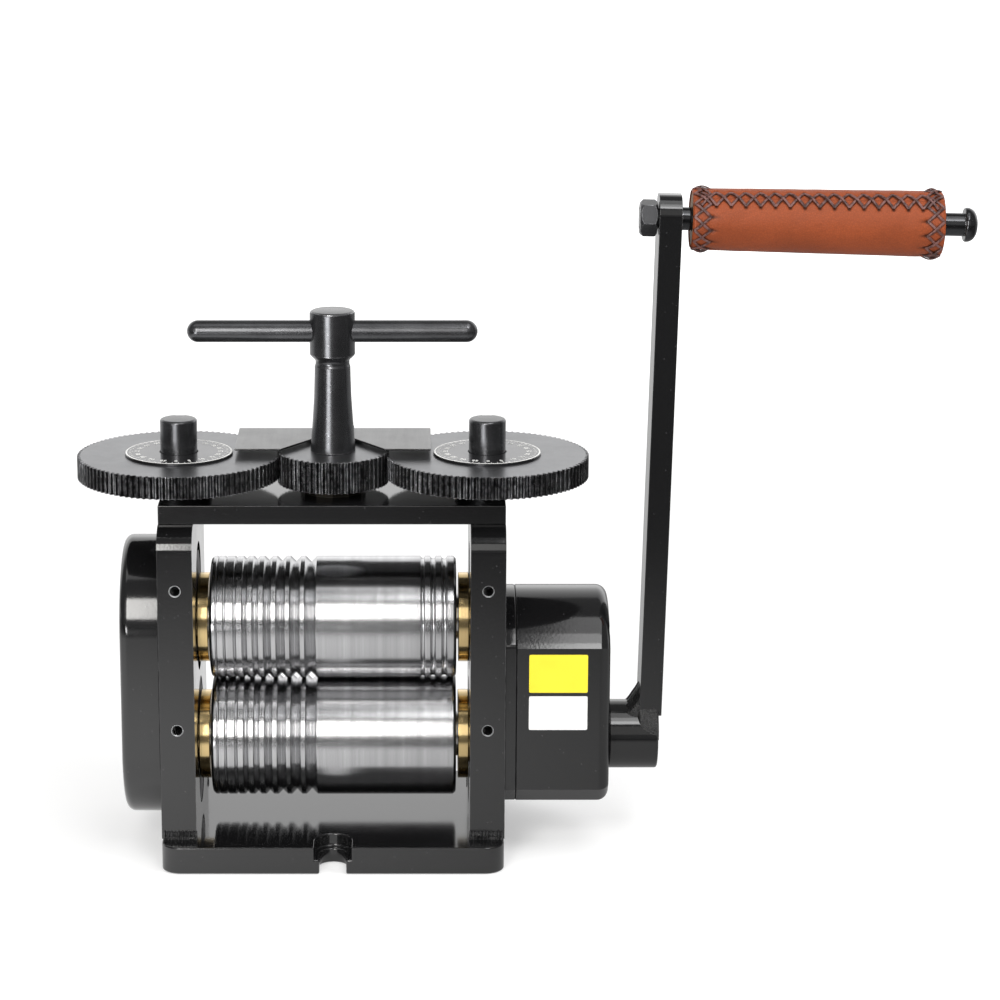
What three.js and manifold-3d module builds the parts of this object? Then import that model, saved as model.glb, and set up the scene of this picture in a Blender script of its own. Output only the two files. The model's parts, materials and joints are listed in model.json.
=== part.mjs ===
// Jewellers rolling mill: a hand cranked bench mill with one pair of grooved and flat rolls.
// Millimetres, +Z up, +X along the rolls towards the crank, +Y away from the operator.
// The origin is the centre of the base plate's underside, straight below the roll axes.
import * as THREE from 'three';
import { mergeVertices } from 'three/addons/utils/BufferGeometryUtils.js';
import Module from 'manifold-3d';

// Clearances
const seatGap = 0.3;
const runningGap = 0.3;
const cutOver = 2;

// Facets round a full turn: rolls, turned pieces and bores, small shafts, and tapped holes
const rollSides = 18;
const roundSides = 16;
const shaftSides = 12;
const holeSides = 8;
const arcSteps = 4;

// Rolls
const rollDiameter = 38.1;
const rollLength = 76.2;
const rollGap = 0.3;
const rollOpening = 2.5;
const rollEdge = 0.8;
const neckRadius = 7;
const gearSeatRadius = 6;
const lowerAxisZ = 33.5;
const upperAxisZ = lowerAxisZ + rollDiameter + rollGap;
const middleZ = (lowerAxisZ + upperAxisZ) / 2;

// V grooves for wire: distance from the roll's left end, and width at the mouth
const wireGrooves = [
  [2.1, 0.6],
  [4.6, 0.8],
  [7.8, 0.95],
  [10.8, 1.6],
  [14.1, 1.9],
  [17.8, 2.4],
  [21.9, 2.85],
  [26.3, 3.2],
  [31.05, 3.5],
];
const wireGrooveSlope = 1;

// Half-round grooves on the upper roll: distance from its right end, and width
const roundGrooves = [
  [10.4, 1.3],
  [7.2, 1.6],
  [3.7, 1.75],
];

// Bushes and bearing blocks
const flangeRadius = 14;
const flangeThickness = 3.3;
const flangeEdge = 0.5;
const flangePlay = 0.2;
const rollEndPlay = 0.65;
const bushRadius = 9;
const blockEndPlay = 0.2;

// Side plates
const plateThickness = 10.75;
const plateDepth = 56;
const plateTopZ = 106.9;
const shoulderRadius = 7.7;
const windowWidth = 22;
const windowHeight = 41;
const windowWeb = 2.9;
const windowWebLift = 0.85;
const plateInnerX = rollLength / 2 + rollEndPlay + flangeThickness + flangePlay;
const plateOuterX = plateInnerX + plateThickness;
const windowWebZ = middleZ + windowWebLift;
const lowerWindow = [windowWebZ - windowWeb / 2 - windowHeight, windowWebZ - windowWeb / 2];
const upperWindow = [windowWebZ + windowWeb / 2, windowWebZ + windowWeb / 2 + windowHeight];

// Tapped accessory holes in the front of each side plate
const accessoryRadius = 1.5;
const accessoryDepth = 8;
const accessoryZ = [43.6, 88];

// Base plate
const baseThickness = 8.5;
const baseDepth = 72.5;
const baseSideInset = 0.2;
const baseCorner = 6;
const baseEdge = 0.5;
const slotWidth = 8.3;
const slotReach = 10.5;
const slotSeatWidth = 11.5;
const slotSeatReach = 13;
const slotSeatDepth = 4;

// Crown plate, welded to the side plates
const crownThickness = 5.9;
const crownDepth = 40;
const crownEdge = 0.4;
const crownTopZ = plateTopZ + crownThickness;

// Pressure screws over the middle of the side plates, dial gears and adjusting pinion
const pressureScrewX = (plateInnerX + plateOuterX) / 2;
const pinionTeeth = 54;
const dialTeeth = 100;
const dialModule = (2 * pressureScrewX) / (pinionTeeth + dialTeeth);
const dialAddendum = 0.38;
const dialDedendum = 0.62;
const dialThinning = 0.1;
const pressureScrewRadius = 4;
const postRadius = 5.7;
const postEdge = 0.6;
const postTopZ = 135.5;
const postBottomLift = 0.4;
const postKeyWidth = 2.4;
const postKeyDepth = 1.3;
const dialThickness = 7;
const dialLift = 4.6;
const dialBottomZ = crownTopZ + dialLift;
const dialTopZ = dialBottomZ + dialThickness;
const collarRadius = 10;
const dialPlateRadius = 16.65;
const dialPlateThickness = 0.7;
const pinionBottomZ = crownTopZ + 2.7;
const pinionThickness = 9.9;
const pinionTopZ = pinionBottomZ + pinionThickness;
const pinionSeatRadius = 5;
const pinionKey = { width: 2.4, height: 2.2, length: 8 };

// T-handle
const spindleRadius = 4;
const pinionBushRadius = 6.8;
const pinionBushFlangeRadius = 10;
const columnFootRadius = 6.95;
const columnNeckRadius = 5.5;
const columnNeckZ = 152;
const grooveRadius = 5.2;
const handleHubRadius = 6.95;
const handleHubBottomZ = 156.6;
const handleHubTopZ = 169.4;
const handleHubEdge = 0.8;
const handleBarRadius = 3.4;
const handleBarReach = 44.5;
const handleBarZ = 162.9;
const spindleWasher = { radius: 8, thickness: 1.1, boreRadius: 1.8 };
const spindleScrew = { radius: 1.5, headRadius: 3.8, headHeight: 2, length: 12 };

// Index plate behind the pinion
const indexHalfWidth = 30.2;
const indexFrontY = -4.3;
const indexNotchHalfWidth = 16;
const indexNotchY = 19.5;
const indexThickness = 0.6;
const indexBottomZ = 126.3;
const bracketHalfWidth = 9;
const bracketThickness = 4.2;
const indexRearY = crownDepth / 2 + bracketThickness;

// Left gear cover
const coverRadius = 25.7;
const coverDepth = 12.6;
const coverWall = 1.6;
const coverFillet = 3;
const coverHalfHeight = 44.3;
const coverBossY = 17;
const coverBossRadius = 4.2;
const coverMiddleZ = middleZ + 0.9;

// Coupling gears on the left roll necks
const couplingTeeth = 19;
const couplingTip = 1.7;
const couplingRoot = 2.1;
const couplingThinning = 0.18;
const couplingWidth = 7.8;
const couplingSetOff = 1;
const ringGroove = { width: 1, depth: 0.9, setBack: 0.6 };
const gearKey = { width: 2.4, height: 3, seat: 1.6 };

// Gearbox housing
const boxHalfWidth = 24;
const boxTopRadius = 29;
const boxTopZ = 81.4;
const boxBottomZ = 18;
const boxCorner = 5;
const boxFillet = 3.5;
const boxWall = 2;
const boxFaceWall = 3;
const adapterThickness = 3.4;
const boxDepth = 29;
const adapterOuterX = plateOuterX + adapterThickness;
const boxFaceX = adapterOuterX + boxDepth;
const boxScrewPlaces = [
  [17.2, 25.6],
  [15.3, 70.2],
];
const boxBossRadius = 4.6;

// Recesses for the heads of the cover screws
const recessRadius = 3.1;
const recessDepth = 2.2;

// Gear reduction between the crank and the lower roll
const trainModule = 0.9;
const crankTeeth = 9;
const layshaftGearTeeth = 36;
const layshaftPinionTeeth = 18;
const rollGearTeeth = 27;
const trainCentres = ((crankTeeth + layshaftGearTeeth) / 2) * trainModule;
const trainThinning = 0.09;
const crankShift = 0.4;
const trainWidth = 9;
const slowPlaneX = adapterOuterX + 2;
const fastPlaneX = slowPlaneX + trainWidth + 2.6;
const layshaftZ = lowerAxisZ + trainCentres;
const layshaftEndRadius = 3.5;
const layshaftSeatRadius = 5;
const layshaftBushWall = 1.7;
const pilotRadius = 2.6;
const pilotLength = 7;
const crankShaftRadius = 5;
const crankBushWall = 2.2;
const bearingBossWall = 2.7;

// Crank
const hubRadius = 10.8;
const hubLength = 16;
const hubSetOff = 0.6;
const hubEdge = 0.7;
const setScrewRadius = 2.5;
const armThickness = 6.9;
const armWidth = 15;
const armLength = 164.3;
const armLean = THREE.MathUtils.degToRad(1.25);
const armOverhang = 0.3;
const hubInnerX = boxFaceX + hubSetOff;
const hubOuterX = hubInnerX + hubLength;
const armFootX = hubOuterX - armThickness / 2 + armOverhang;

// Handle on the crank arm, measured from the arm's middle plane
const boltRadius = 3;
const boltShankRadius = 3.52;
const boltHeadRadius = 5.25;
const boltHeadHeight = 4;
const boltShankEnd = 89.45;
const nutAcrossFlats = 10;
const nutThickness = 5.2;
const gripStart = 6.5;
const gripLength = 78;
const gripRadius = 9.8;
const gripCollarRadius = 10.25;
const leatherThickness = 1;
const gripBoreRadius = boltShankRadius + runningGap;

// Lift springs under the upper bearing blocks
const springWire = 1;
const springRadius = 3;
const springTurns = 2.5;
const springSteps = 8;
const springSides = 5;

const wasm = await Module();
wasm.setup();

// A closed geometry as a solid that can be cut and joined
function solidOf(geometry) {
  const bare = geometry.clone();
  bare.deleteAttribute('normal');
  bare.deleteAttribute('uv');
  const merged = mergeVertices(bare, 1e-4);
  return new wasm.Manifold(new wasm.Mesh({
    numProp: 3,
    vertProperties: new Float32Array(merged.attributes.position.array),
    triVerts: new Uint32Array(merged.index.array),
  }));
}

function geometryOf(solid) {
  const mesh = solid.getMesh();
  const geometry = new THREE.BufferGeometry();
  geometry.setAttribute('position', new THREE.BufferAttribute(mesh.vertProperties, 3));
  geometry.setIndex(new THREE.BufferAttribute(mesh.triVerts, 1));
  return geometry;
}

function cut(geometry, ...tools) {
  let solid = solidOf(geometry);
  for (const tool of tools) {
    solid = solid.subtract(solidOf(tool));
  }
  return geometryOf(solid);
}

function join(geometry, ...others) {
  let solid = solidOf(geometry);
  for (const other of others) {
    solid = solid.add(solidOf(other));
  }
  return geometryOf(solid);
}

// Shapes drawn in (y, z) and run along +X, or drawn in (x, z) and run along +Y
const alongX = new THREE.Matrix4().makeBasis(
  new THREE.Vector3(0, 1, 0),
  new THREE.Vector3(0, 0, 1),
  new THREE.Vector3(1, 0, 0),
);

function extrudeZ(shape, fromZ, toZ, steps = arcSteps) {
  const options = { depth: toZ - fromZ, bevelEnabled: false, curveSegments: steps };
  return new THREE.ExtrudeGeometry(shape, options).translate(0, 0, fromZ);
}

function extrudeX(shape, fromX, toX, steps = arcSteps) {
  return extrudeZ(shape, 0, toX - fromX, steps).applyMatrix4(alongX).translate(fromX, 0, 0);
}

// An extrusion whose two end edges are chamfered
function edgedZ(shape, fromZ, toZ, edge, steps = arcSteps) {
  const options = {
    depth: toZ - fromZ - 2 * edge,
    bevelThickness: edge,
    bevelSize: edge,
    bevelOffset: -edge,
    bevelSegments: 1,
    curveSegments: steps,
  };
  return new THREE.ExtrudeGeometry(shape, options).translate(0, 0, fromZ + edge);
}

function edgedX(shape, fromX, toX, edge, steps = arcSteps) {
  return edgedZ(shape, 0, toX - fromX, edge, steps).applyMatrix4(alongX).translate(fromX, 0, 0);
}

// An extrusion from 0 to height with a rounded edge at the top only
function domedZ(shape, height, fillet, steps = arcSteps) {
  const options = {
    depth: height - fillet,
    bevelThickness: fillet,
    bevelSize: fillet,
    bevelOffset: -fillet,
    bevelSegments: 3,
    curveSegments: steps,
  };
  const both = new THREE.ExtrudeGeometry(shape, options);
  const size = 400;
  const below = new THREE.BoxGeometry(size, size, size).translate(0, 0, -size / 2);
  return cut(both, below);
}

// Turned pieces: the profile is a list of [radius, distance along the axis]
function turnedZ(profile, sides = shaftSides) {
  const points = profile.map(([radius, along]) => new THREE.Vector2(radius, along));
  return new THREE.LatheGeometry(points, sides).rotateX(Math.PI / 2);
}

function turnedX(profile, sides = shaftSides) {
  const points = profile.map(([radius, along]) => new THREE.Vector2(radius, along));
  return new THREE.LatheGeometry(points, sides).rotateZ(-Math.PI / 2);
}

function ringProfile(inner, outer, from, to, edge = 0) {
  const profile = [[inner, from], [outer - edge, from]];
  if (edge > 0) {
    profile.push([outer, from + edge], [outer, to - edge]);
  }
  profile.push([outer - edge, to], [inner, to], [inner, from]);
  return profile;
}

function rodX(radius, fromX, toX, y, z, sides = shaftSides) {
  return turnedX([[0, fromX], [radius, fromX], [radius, toX], [0, toX]], sides).translate(0, y, z);
}

function rodY(radius, fromY, toY, x, z, sides = shaftSides) {
  const rod = turnedZ([[0, -toY], [radius, -toY], [radius, -fromY], [0, -fromY]], sides);
  return rod.rotateX(Math.PI / 2).translate(x, 0, z);
}

function rodZ(radius, fromZ, toZ, x, y, sides = shaftSides) {
  return turnedZ([[0, fromZ], [radius, fromZ], [radius, toZ], [0, toZ]], sides).translate(x, y, 0);
}

function block(fromX, toX, fromY, toY, fromZ, toZ) {
  const box = new THREE.BoxGeometry(toX - fromX, toY - fromY, toZ - fromZ);
  return box.translate((fromX + toX) / 2, (fromY + toY) / 2, (fromZ + toZ) / 2);
}

// Outlines
function rectangle(halfWidth, low, high) {
  const shape = new THREE.Shape();
  shape.moveTo(-halfWidth, low);
  shape.lineTo(halfWidth, low);
  shape.lineTo(halfWidth, high);
  shape.lineTo(-halfWidth, high);
  shape.closePath();
  return shape;
}

function roundedRectangle(halfWidth, halfDepth, radius) {
  const shape = new THREE.Shape();
  const x = halfWidth - radius;
  const y = halfDepth - radius;
  shape.absarc(x, -y, radius, -Math.PI / 2, 0);
  shape.absarc(x, y, radius, 0, Math.PI / 2);
  shape.absarc(-x, y, radius, Math.PI / 2, Math.PI);
  shape.absarc(-x, -y, radius, Math.PI, 1.5 * Math.PI);
  shape.closePath();
  return shape;
}

function obround(shape, radius, low, high) {
  shape.absarc(0, high - radius, radius, 0, Math.PI);
  shape.absarc(0, low + radius, radius, Math.PI, 2 * Math.PI);
  shape.closePath();
  return shape;
}

function circlePath(x, y, radius, count = roundSides) {
  const points = [];
  for (let i = 0; i < count; i += 1) {
    const angle = (2 * Math.PI * i) / count;
    points.push(new THREE.Vector2(x + radius * Math.cos(angle), y + radius * Math.sin(angle)));
  }
  return new THREE.Path(points);
}

// Involute gear outline. A tooth points along the phase angle.
const pressureAngle = THREE.MathUtils.degToRad(20);

function involute(angle) {
  return Math.tan(angle) - angle;
}

function gearOutline(gear) {
  const { teeth, pitchRadius, tip, root, thinning } = gear;
  const { shift = 0, flanks = 1, phase = Math.PI / 2 } = gear;
  const gearModule = (2 * pitchRadius) / teeth;
  const baseRadius = pitchRadius * Math.cos(pressureAngle);
  const shiftAngle = (2 * shift * gearModule * Math.tan(pressureAngle)) / (2 * pitchRadius);
  const pitchHalf = Math.PI / (2 * teeth) + shiftAngle - thinning / pitchRadius;
  const halfAngle = (radius) => {
    const flankAngle = Math.acos(Math.min(1, baseRadius / radius));
    return pitchHalf + involute(pressureAngle) - involute(flankAngle);
  };
  const tipRadius = pitchRadius + tip;
  const rootRadius = pitchRadius - root;
  const radii = [rootRadius];
  for (let i = 1; i <= flanks; i += 1) {
    radii.push(Math.max(rootRadius, baseRadius) * (1 - i / flanks) + tipRadius * (i / flanks));
  }
  const points = [];
  for (let tooth = 0; tooth < teeth; tooth += 1) {
    const middle = phase + (2 * Math.PI * tooth) / teeth;
    for (const radius of radii) {
      points.push([radius, middle - halfAngle(radius)]);
    }
    for (const radius of [...radii].reverse()) {
      points.push([radius, middle + halfAngle(radius)]);
    }
  }
  return new THREE.Shape(points.map(([radius, angle]) => (
    new THREE.Vector2(radius * Math.cos(angle), radius * Math.sin(angle))
  )));
}

// A round bore with a slot for a key at its top
function keyedBore(radius, slotHalfWidth, slotTop) {
  const meet = Math.asin(slotHalfWidth / radius);
  const points = [];
  for (let i = 0; i <= roundSides; i += 1) {
    const angle = Math.PI / 2 + meet + ((2 * Math.PI - 2 * meet) * i) / roundSides;
    points.push(new THREE.Vector2(radius * Math.cos(angle), radius * Math.sin(angle)));
  }
  points.push(new THREE.Vector2(slotHalfWidth, slotTop), new THREE.Vector2(-slotHalfWidth, slotTop));
  return new THREE.Path(points);
}

// The model and its finishes
const mill = new THREE.Group();

const finishes = {
  blackPaint: { color: 0x17181a, roughness: 0.32, metalness: 0.1 },
  blackOxide: { color: 0x26272a, roughness: 0.42, metalness: 0.8 },
  rollSteel: { color: 0xb9babc, roughness: 0.2, metalness: 1 },
  steel: { color: 0x8d9094, roughness: 0.35, metalness: 1 },
  springSteel: { color: 0x6f7276, roughness: 0.35, metalness: 1 },
  castIron: { color: 0x4a4b4d, roughness: 0.6, metalness: 0.8 },
  brass: { color: 0xc99a4a, roughness: 0.28, metalness: 1 },
  scale: { color: 0x2b2c2f, roughness: 0.5, metalness: 0.6 },
  wood: { color: 0x6a4a2e, roughness: 0.7, metalness: 0 },
  leather: { color: 0xa8542c, roughness: 0.55, metalness: 0 },
};

function add(name, geometry, finish, parent = mill) {
  const mesh = new THREE.Mesh(geometry, new THREE.MeshStandardMaterial(finishes[finish]));
  mesh.name = name;
  parent.add(mesh);
  return mesh;
}

const sides = [
  { side: 'left', sign: -1 },
  { side: 'right', sign: 1 },
];

// Base plate with an open bolt slot and a sunk bolt seat at the front and the rear
function boltSlot(width, reach, fromZ, toZ, sign) {
  const radius = width / 2;
  const edgeY = baseDepth / 2;
  const shape = new THREE.Shape();
  shape.moveTo(-radius, -edgeY - cutOver);
  shape.lineTo(radius, -edgeY - cutOver);
  shape.absarc(0, -edgeY + reach - radius, radius, 0, Math.PI);
  shape.closePath();
  const tool = extrudeZ(shape, fromZ, toZ);
  return sign > 0 ? tool.rotateZ(Math.PI) : tool;
}

function basePlate() {
  const outline = roundedRectangle(plateOuterX - baseSideInset, baseDepth / 2, baseCorner);
  const tools = [];
  for (const sign of [-1, 1]) {
    tools.push(boltSlot(slotWidth, slotReach, -cutOver, baseThickness + cutOver, sign));
    const seatZ = baseThickness - slotSeatDepth;
    tools.push(boltSlot(slotSeatWidth, slotSeatReach, seatZ, baseThickness + cutOver, sign));
  }
  return cut(edgedZ(outline, 0, baseThickness, baseEdge), ...tools);
}

// Side plate with two bearing windows and rounded shoulders
function sidePlate(sign) {
  const half = plateDepth / 2;
  const arcY = half - shoulderRadius;
  const arcZ = plateTopZ - shoulderRadius;
  const outline = new THREE.Shape();
  outline.moveTo(-half, baseThickness);
  outline.lineTo(half, baseThickness);
  outline.absarc(arcY, arcZ, shoulderRadius, 0, Math.PI / 2);
  outline.absarc(-arcY, arcZ, shoulderRadius, Math.PI / 2, Math.PI);
  outline.closePath();
  for (const [low, high] of [lowerWindow, upperWindow]) {
    outline.holes.push(obround(new THREE.Path(), windowWidth / 2, low, high));
  }
  const fromX = sign > 0 ? plateInnerX : -plateOuterX;
  const tools = [
    rodZ(
      pressureScrewRadius + runningGap,
      upperWindow[1] - cutOver,
      plateTopZ + cutOver,
      sign * pressureScrewX,
      0,
    ),
  ];
  for (const z of accessoryZ) {
    const bottom = -half + accessoryDepth;
    tools.push(rodY(accessoryRadius, -half - cutOver, bottom, sign * pressureScrewX, z, holeSides));
  }
  return cut(extrudeX(outline, fromX, fromX + plateThickness), ...tools);
}

// Crown plate across the side plates
function crownPlate() {
  const outline = rectangle(plateOuterX, -crownDepth / 2, crownDepth / 2);
  const body = edgedZ(outline, plateTopZ, crownTopZ, crownEdge);
  const low = plateTopZ - cutOver;
  const high = crownTopZ + cutOver;
  const tools = [rodZ(pinionBushRadius + seatGap, low, high, 0, 0, roundSides)];
  for (const { sign } of sides) {
    tools.push(rodZ(pressureScrewRadius + runningGap, low, high, sign * pressureScrewX, 0));
  }
  return cut(body, ...tools);
}

// Oblong cover over the coupling gears, open towards the side plate
function stadium(radius, halfHeight) {
  return obround(new THREE.Shape(), radius, coverMiddleZ - halfHeight, coverMiddleZ + halfHeight);
}

function leftward(geometry) {
  return geometry.applyMatrix4(alongX).scale(-1, 1, 1);
}

function flipped(geometry) {
  const solid = geometry.index ? geometry.toNonIndexed() : geometry;
  const positions = solid.attributes.position;
  for (let i = 0; i < positions.count; i += 3) {
    for (let axis = 0; axis < 3; axis += 1) {
      const first = positions.getComponent(i + 1, axis);
      positions.setComponent(i + 1, axis, positions.getComponent(i + 2, axis));
      positions.setComponent(i + 2, axis, first);
    }
  }
  return solid;
}

const coverFaceX = -plateOuterX - coverDepth;

function leftGearCover() {
  const outer = domedZ(stadium(coverRadius, coverHalfHeight), coverDepth, coverFillet);
  const inner = domedZ(
    stadium(coverRadius - coverWall, coverHalfHeight - coverWall),
    coverDepth - coverWall,
    coverFillet - coverWall,
  );
  const shell = flipped(leftward(cut(outer, inner.translate(0, 0, -0.001)))).translate(-plateOuterX, 0, 0);
  const bosses = [];
  const tools = [];
  for (const y of [-coverBossY, coverBossY]) {
    bosses.push(rodX(coverBossRadius, coverFaceX + coverWall / 2, -plateOuterX, y, coverMiddleZ));
    tools.push(rodX(recessRadius, coverFaceX - cutOver, coverFaceX + recessDepth, y, coverMiddleZ));
  }
  return cut(join(shell, ...bosses), ...tools);
}

// Gearbox outline: straight sides, a round top that meets them at a crease, and cut lower corners
function boxOutline(inset) {
  const half = boxHalfWidth - inset;
  const radius = boxTopRadius - inset;
  const arcZ = boxTopZ - boxTopRadius;
  const crease = Math.acos(half / radius);
  const low = boxBottomZ + inset;
  const corner = boxCorner - inset * 0.6;
  const shape = new THREE.Shape();
  shape.moveTo(-half + corner, low);
  shape.lineTo(half - corner, low);
  shape.lineTo(half, low + corner);
  shape.absarc(0, arcZ, radius, crease, Math.PI - crease);
  shape.lineTo(-half, low + corner);
  shape.closePath();
  return shape;
}

function gearboxAdapterPlate() {
  const outline = boxOutline(0);
  outline.holes.push(circlePath(0, lowerAxisZ, neckRadius + 2 * runningGap));
  outline.holes.push(circlePath(0, layshaftZ, layshaftEndRadius + runningGap + layshaftBushWall + seatGap));
  return extrudeX(outline, plateOuterX, adapterOuterX);
}

const crankBushRadius = crankShaftRadius + runningGap + crankBushWall;
const layshaftBushRadius = layshaftEndRadius + runningGap + layshaftBushWall;
const bossFaceX = fastPlaneX + trainWidth + 0.5;
const layshaftBoreEndX = boxFaceX - 2;

function gearboxCover() {
  const outer = domedZ(boxOutline(0), boxDepth, boxFillet);
  const inner = extrudeZ(boxOutline(boxWall), 0, boxDepth - boxFaceWall);
  const shell = cut(outer, inner.translate(0, 0, -0.001)).applyMatrix4(alongX);
  shell.translate(adapterOuterX, 0, 0);
  const bossEndX = boxFaceX - boxFaceWall / 2;
  const bosses = [
    rodX(crankBushRadius + seatGap + bearingBossWall, bossFaceX, bossEndX, 0, lowerAxisZ, roundSides),
    rodX(layshaftBushRadius + seatGap + bearingBossWall, bossFaceX, bossEndX, 0, layshaftZ, roundSides),
  ];
  const tools = [
    rodX(crankBushRadius + seatGap, bossFaceX - cutOver, boxFaceX + cutOver, 0, lowerAxisZ, roundSides),
    rodX(layshaftBushRadius + seatGap, bossFaceX - cutOver, layshaftBoreEndX, 0, layshaftZ, roundSides),
  ];
  for (const [placeY, z] of boxScrewPlaces) {
    for (const y of [-placeY, placeY]) {
      bosses.push(rodX(boxBossRadius, adapterOuterX, bossEndX, y, z));
      tools.push(rodX(recessRadius, boxFaceX - recessDepth, boxFaceX + cutOver, y, z));
    }
  }
  return cut(join(shell, ...bosses), ...tools);
}

// Bearing blocks. The lower ones fill their windows, and the upper ones have room to rise.
function bearingBlock(sign, axisZ, lowZ, highZ) {
  const outline = obround(new THREE.Shape(), windowWidth / 2 - runningGap, lowZ, highZ);
  outline.holes.push(circlePath(0, axisZ, bushRadius + seatGap));
  const fromX = plateInnerX + blockEndPlay;
  const toX = plateOuterX - blockEndPlay;
  return sign > 0 ? extrudeX(outline, fromX, toX) : extrudeX(outline, -toX, -fromX);
}

const upperBlockBottomZ = upperAxisZ - windowWidth / 2 + runningGap;
const upperBlockTopZ = upperWindow[1] - rollOpening - seatGap;

function flangedBush(sign, axisZ) {
  const flangeX = rollLength / 2 + rollEndPlay;
  const shoulderX = flangeX + flangeThickness;
  const endX = plateOuterX - blockEndPlay - 0.1;
  const bore = neckRadius + runningGap;
  const profile = [
    [bore, flangeX],
    [flangeRadius - flangeEdge, flangeX],
    [flangeRadius, flangeX + flangeEdge],
    [flangeRadius, shoulderX],
    [bushRadius, shoulderX],
    [bushRadius, endX],
    [bore, endX],
    [bore, flangeX],
  ];
  const bush = turnedX(profile, roundSides);
  return (sign > 0 ? bush : bush.rotateZ(Math.PI)).translate(0, 0, axisZ);
}

// Lift spring: one unbroken wire, measured against itself
function liftSpring(x) {
  const wireRadius = springWire / 2;
  const lowZ = upperWindow[0] + 0.9;
  const highZ = upperBlockBottomZ - seatGap;
  const rise = highZ - lowZ - springWire;
  const rings = Math.round(springTurns * springSteps);
  const centres = [];
  const positions = [];
  for (let i = 0; i <= rings; i += 1) {
    const turn = (2 * Math.PI * i) / springSteps;
    const z = lowZ + wireRadius + (rise * i) / rings;
    centres.push(new THREE.Vector3(springRadius * Math.cos(turn), springRadius * Math.sin(turn), z));
    for (let j = 0; j < springSides; j += 1) {
      const angle = (2 * Math.PI * j) / springSides;
      const radius = springRadius + wireRadius * Math.cos(angle);
      const height = z + wireRadius * Math.sin(angle);
      positions.push(x + radius * Math.cos(turn), radius * Math.sin(turn), height);
    }
  }
  const triangles = [];
  for (let i = 0; i < rings; i += 1) {
    for (let j = 0; j < springSides; j += 1) {
      const a = i * springSides + j;
      const b = i * springSides + ((j + 1) % springSides);
      triangles.push(a, a + springSides, b, a + springSides, b + springSides, b);
    }
  }
  const last = rings * springSides;
  for (let j = 1; j < springSides - 1; j += 1) {
    triangles.push(0, j, j + 1, last, last + j + 1, last + j);
  }
  let least = Infinity;
  for (let i = 0; i < centres.length; i += 1) {
    for (let k = i + springSteps / 2; k < centres.length; k += 1) {
      least = Math.min(least, centres[i].distanceTo(centres[k]) - springWire);
    }
  }
  console.log(`lift spring at x ${x.toFixed(1)}: least gap to itself ${least.toFixed(2)} mm`);
  const geometry = new THREE.BufferGeometry();
  geometry.setAttribute('position', new THREE.Float32BufferAttribute(positions, 3));
  geometry.setIndex(triangles);
  return geometry;
}

// Rolls
const leftSeatX = -plateOuterX - couplingSetOff + seatGap;
const couplingInnerX = -plateOuterX - couplingSetOff;
const couplingOuterX = couplingInnerX - couplingWidth;
const leftGrooveX = couplingOuterX - seatGap / 2;
const leftEndX = leftGrooveX - ringGroove.width - ringGroove.setBack;
const rollGearEndX = slowPlaneX + trainWidth;

function leftNeckProfile() {
  const grooveFloor = gearSeatRadius - ringGroove.depth;
  return [
    [0, leftEndX],
    [gearSeatRadius, leftEndX],
    [gearSeatRadius, leftGrooveX - ringGroove.width],
    [grooveFloor, leftGrooveX - ringGroove.width],
    [grooveFloor, leftGrooveX],
    [gearSeatRadius, leftGrooveX],
    [gearSeatRadius, leftSeatX],
    [neckRadius, leftSeatX],
    [neckRadius, -rollLength / 2],
  ];
}

function barrelProfile(withRoundGrooves) {
  const radius = rollDiameter / 2;
  const left = -rollLength / 2;
  const right = rollLength / 2;
  const profile = [[radius - rollEdge, left], [radius, left + rollEdge]];
  for (const [fromEnd, width] of wireGrooves) {
    const middle = left + fromEnd;
    profile.push([radius, middle - width / 2]);
    profile.push([radius - (width / 2) * wireGrooveSlope, middle]);
    profile.push([radius, middle + width / 2]);
  }
  if (withRoundGrooves) {
    for (const [fromEnd, width] of roundGrooves) {
      const middle = right - fromEnd;
      for (const angle of [0, 60, 120, 180]) {
        const turn = THREE.MathUtils.degToRad(angle);
        profile.push([radius - (width / 2) * Math.sin(turn), middle - (width / 2) * Math.cos(turn)]);
      }
    }
  }
  profile.push([radius, right - rollEdge], [radius - rollEdge, right]);
  return profile;
}

// A slot for the key at the top of a shaft that ends at endX
function keyway(fromX, toX, seatRadius) {
  const half = gearKey.width / 2 + seatGap;
  return block(fromX, toX, -half, half, seatRadius - gearKey.seat - seatGap, seatRadius + cutOver);
}

function key(fromX, toX, seatRadius, axisZ) {
  const low = seatRadius - gearKey.seat;
  return block(fromX, toX, -gearKey.width / 2, gearKey.width / 2, low, low + gearKey.height)
    .translate(0, 0, axisZ);
}

function gearBore(seatRadius) {
  const top = seatRadius - gearKey.seat + gearKey.height + seatGap;
  return keyedBore(seatRadius + seatGap, gearKey.width / 2 + seatGap, top);
}

const keyInset = 0.6;
const leftKeyX = [couplingOuterX + keyInset, couplingInnerX - keyInset];
const leftKeyway = () => keyway(leftKeyX[0] - seatGap, leftKeyX[1] + seatGap, gearSeatRadius);

function upperRoll() {
  const endX = plateOuterX - blockEndPlay;
  const profile = [
    ...leftNeckProfile(),
    ...barrelProfile(true),
    [neckRadius, rollLength / 2],
    [neckRadius, endX],
    [0, endX],
  ];
  return cut(turnedX(profile, rollSides), leftKeyway()).translate(0, 0, upperAxisZ);
}

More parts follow.
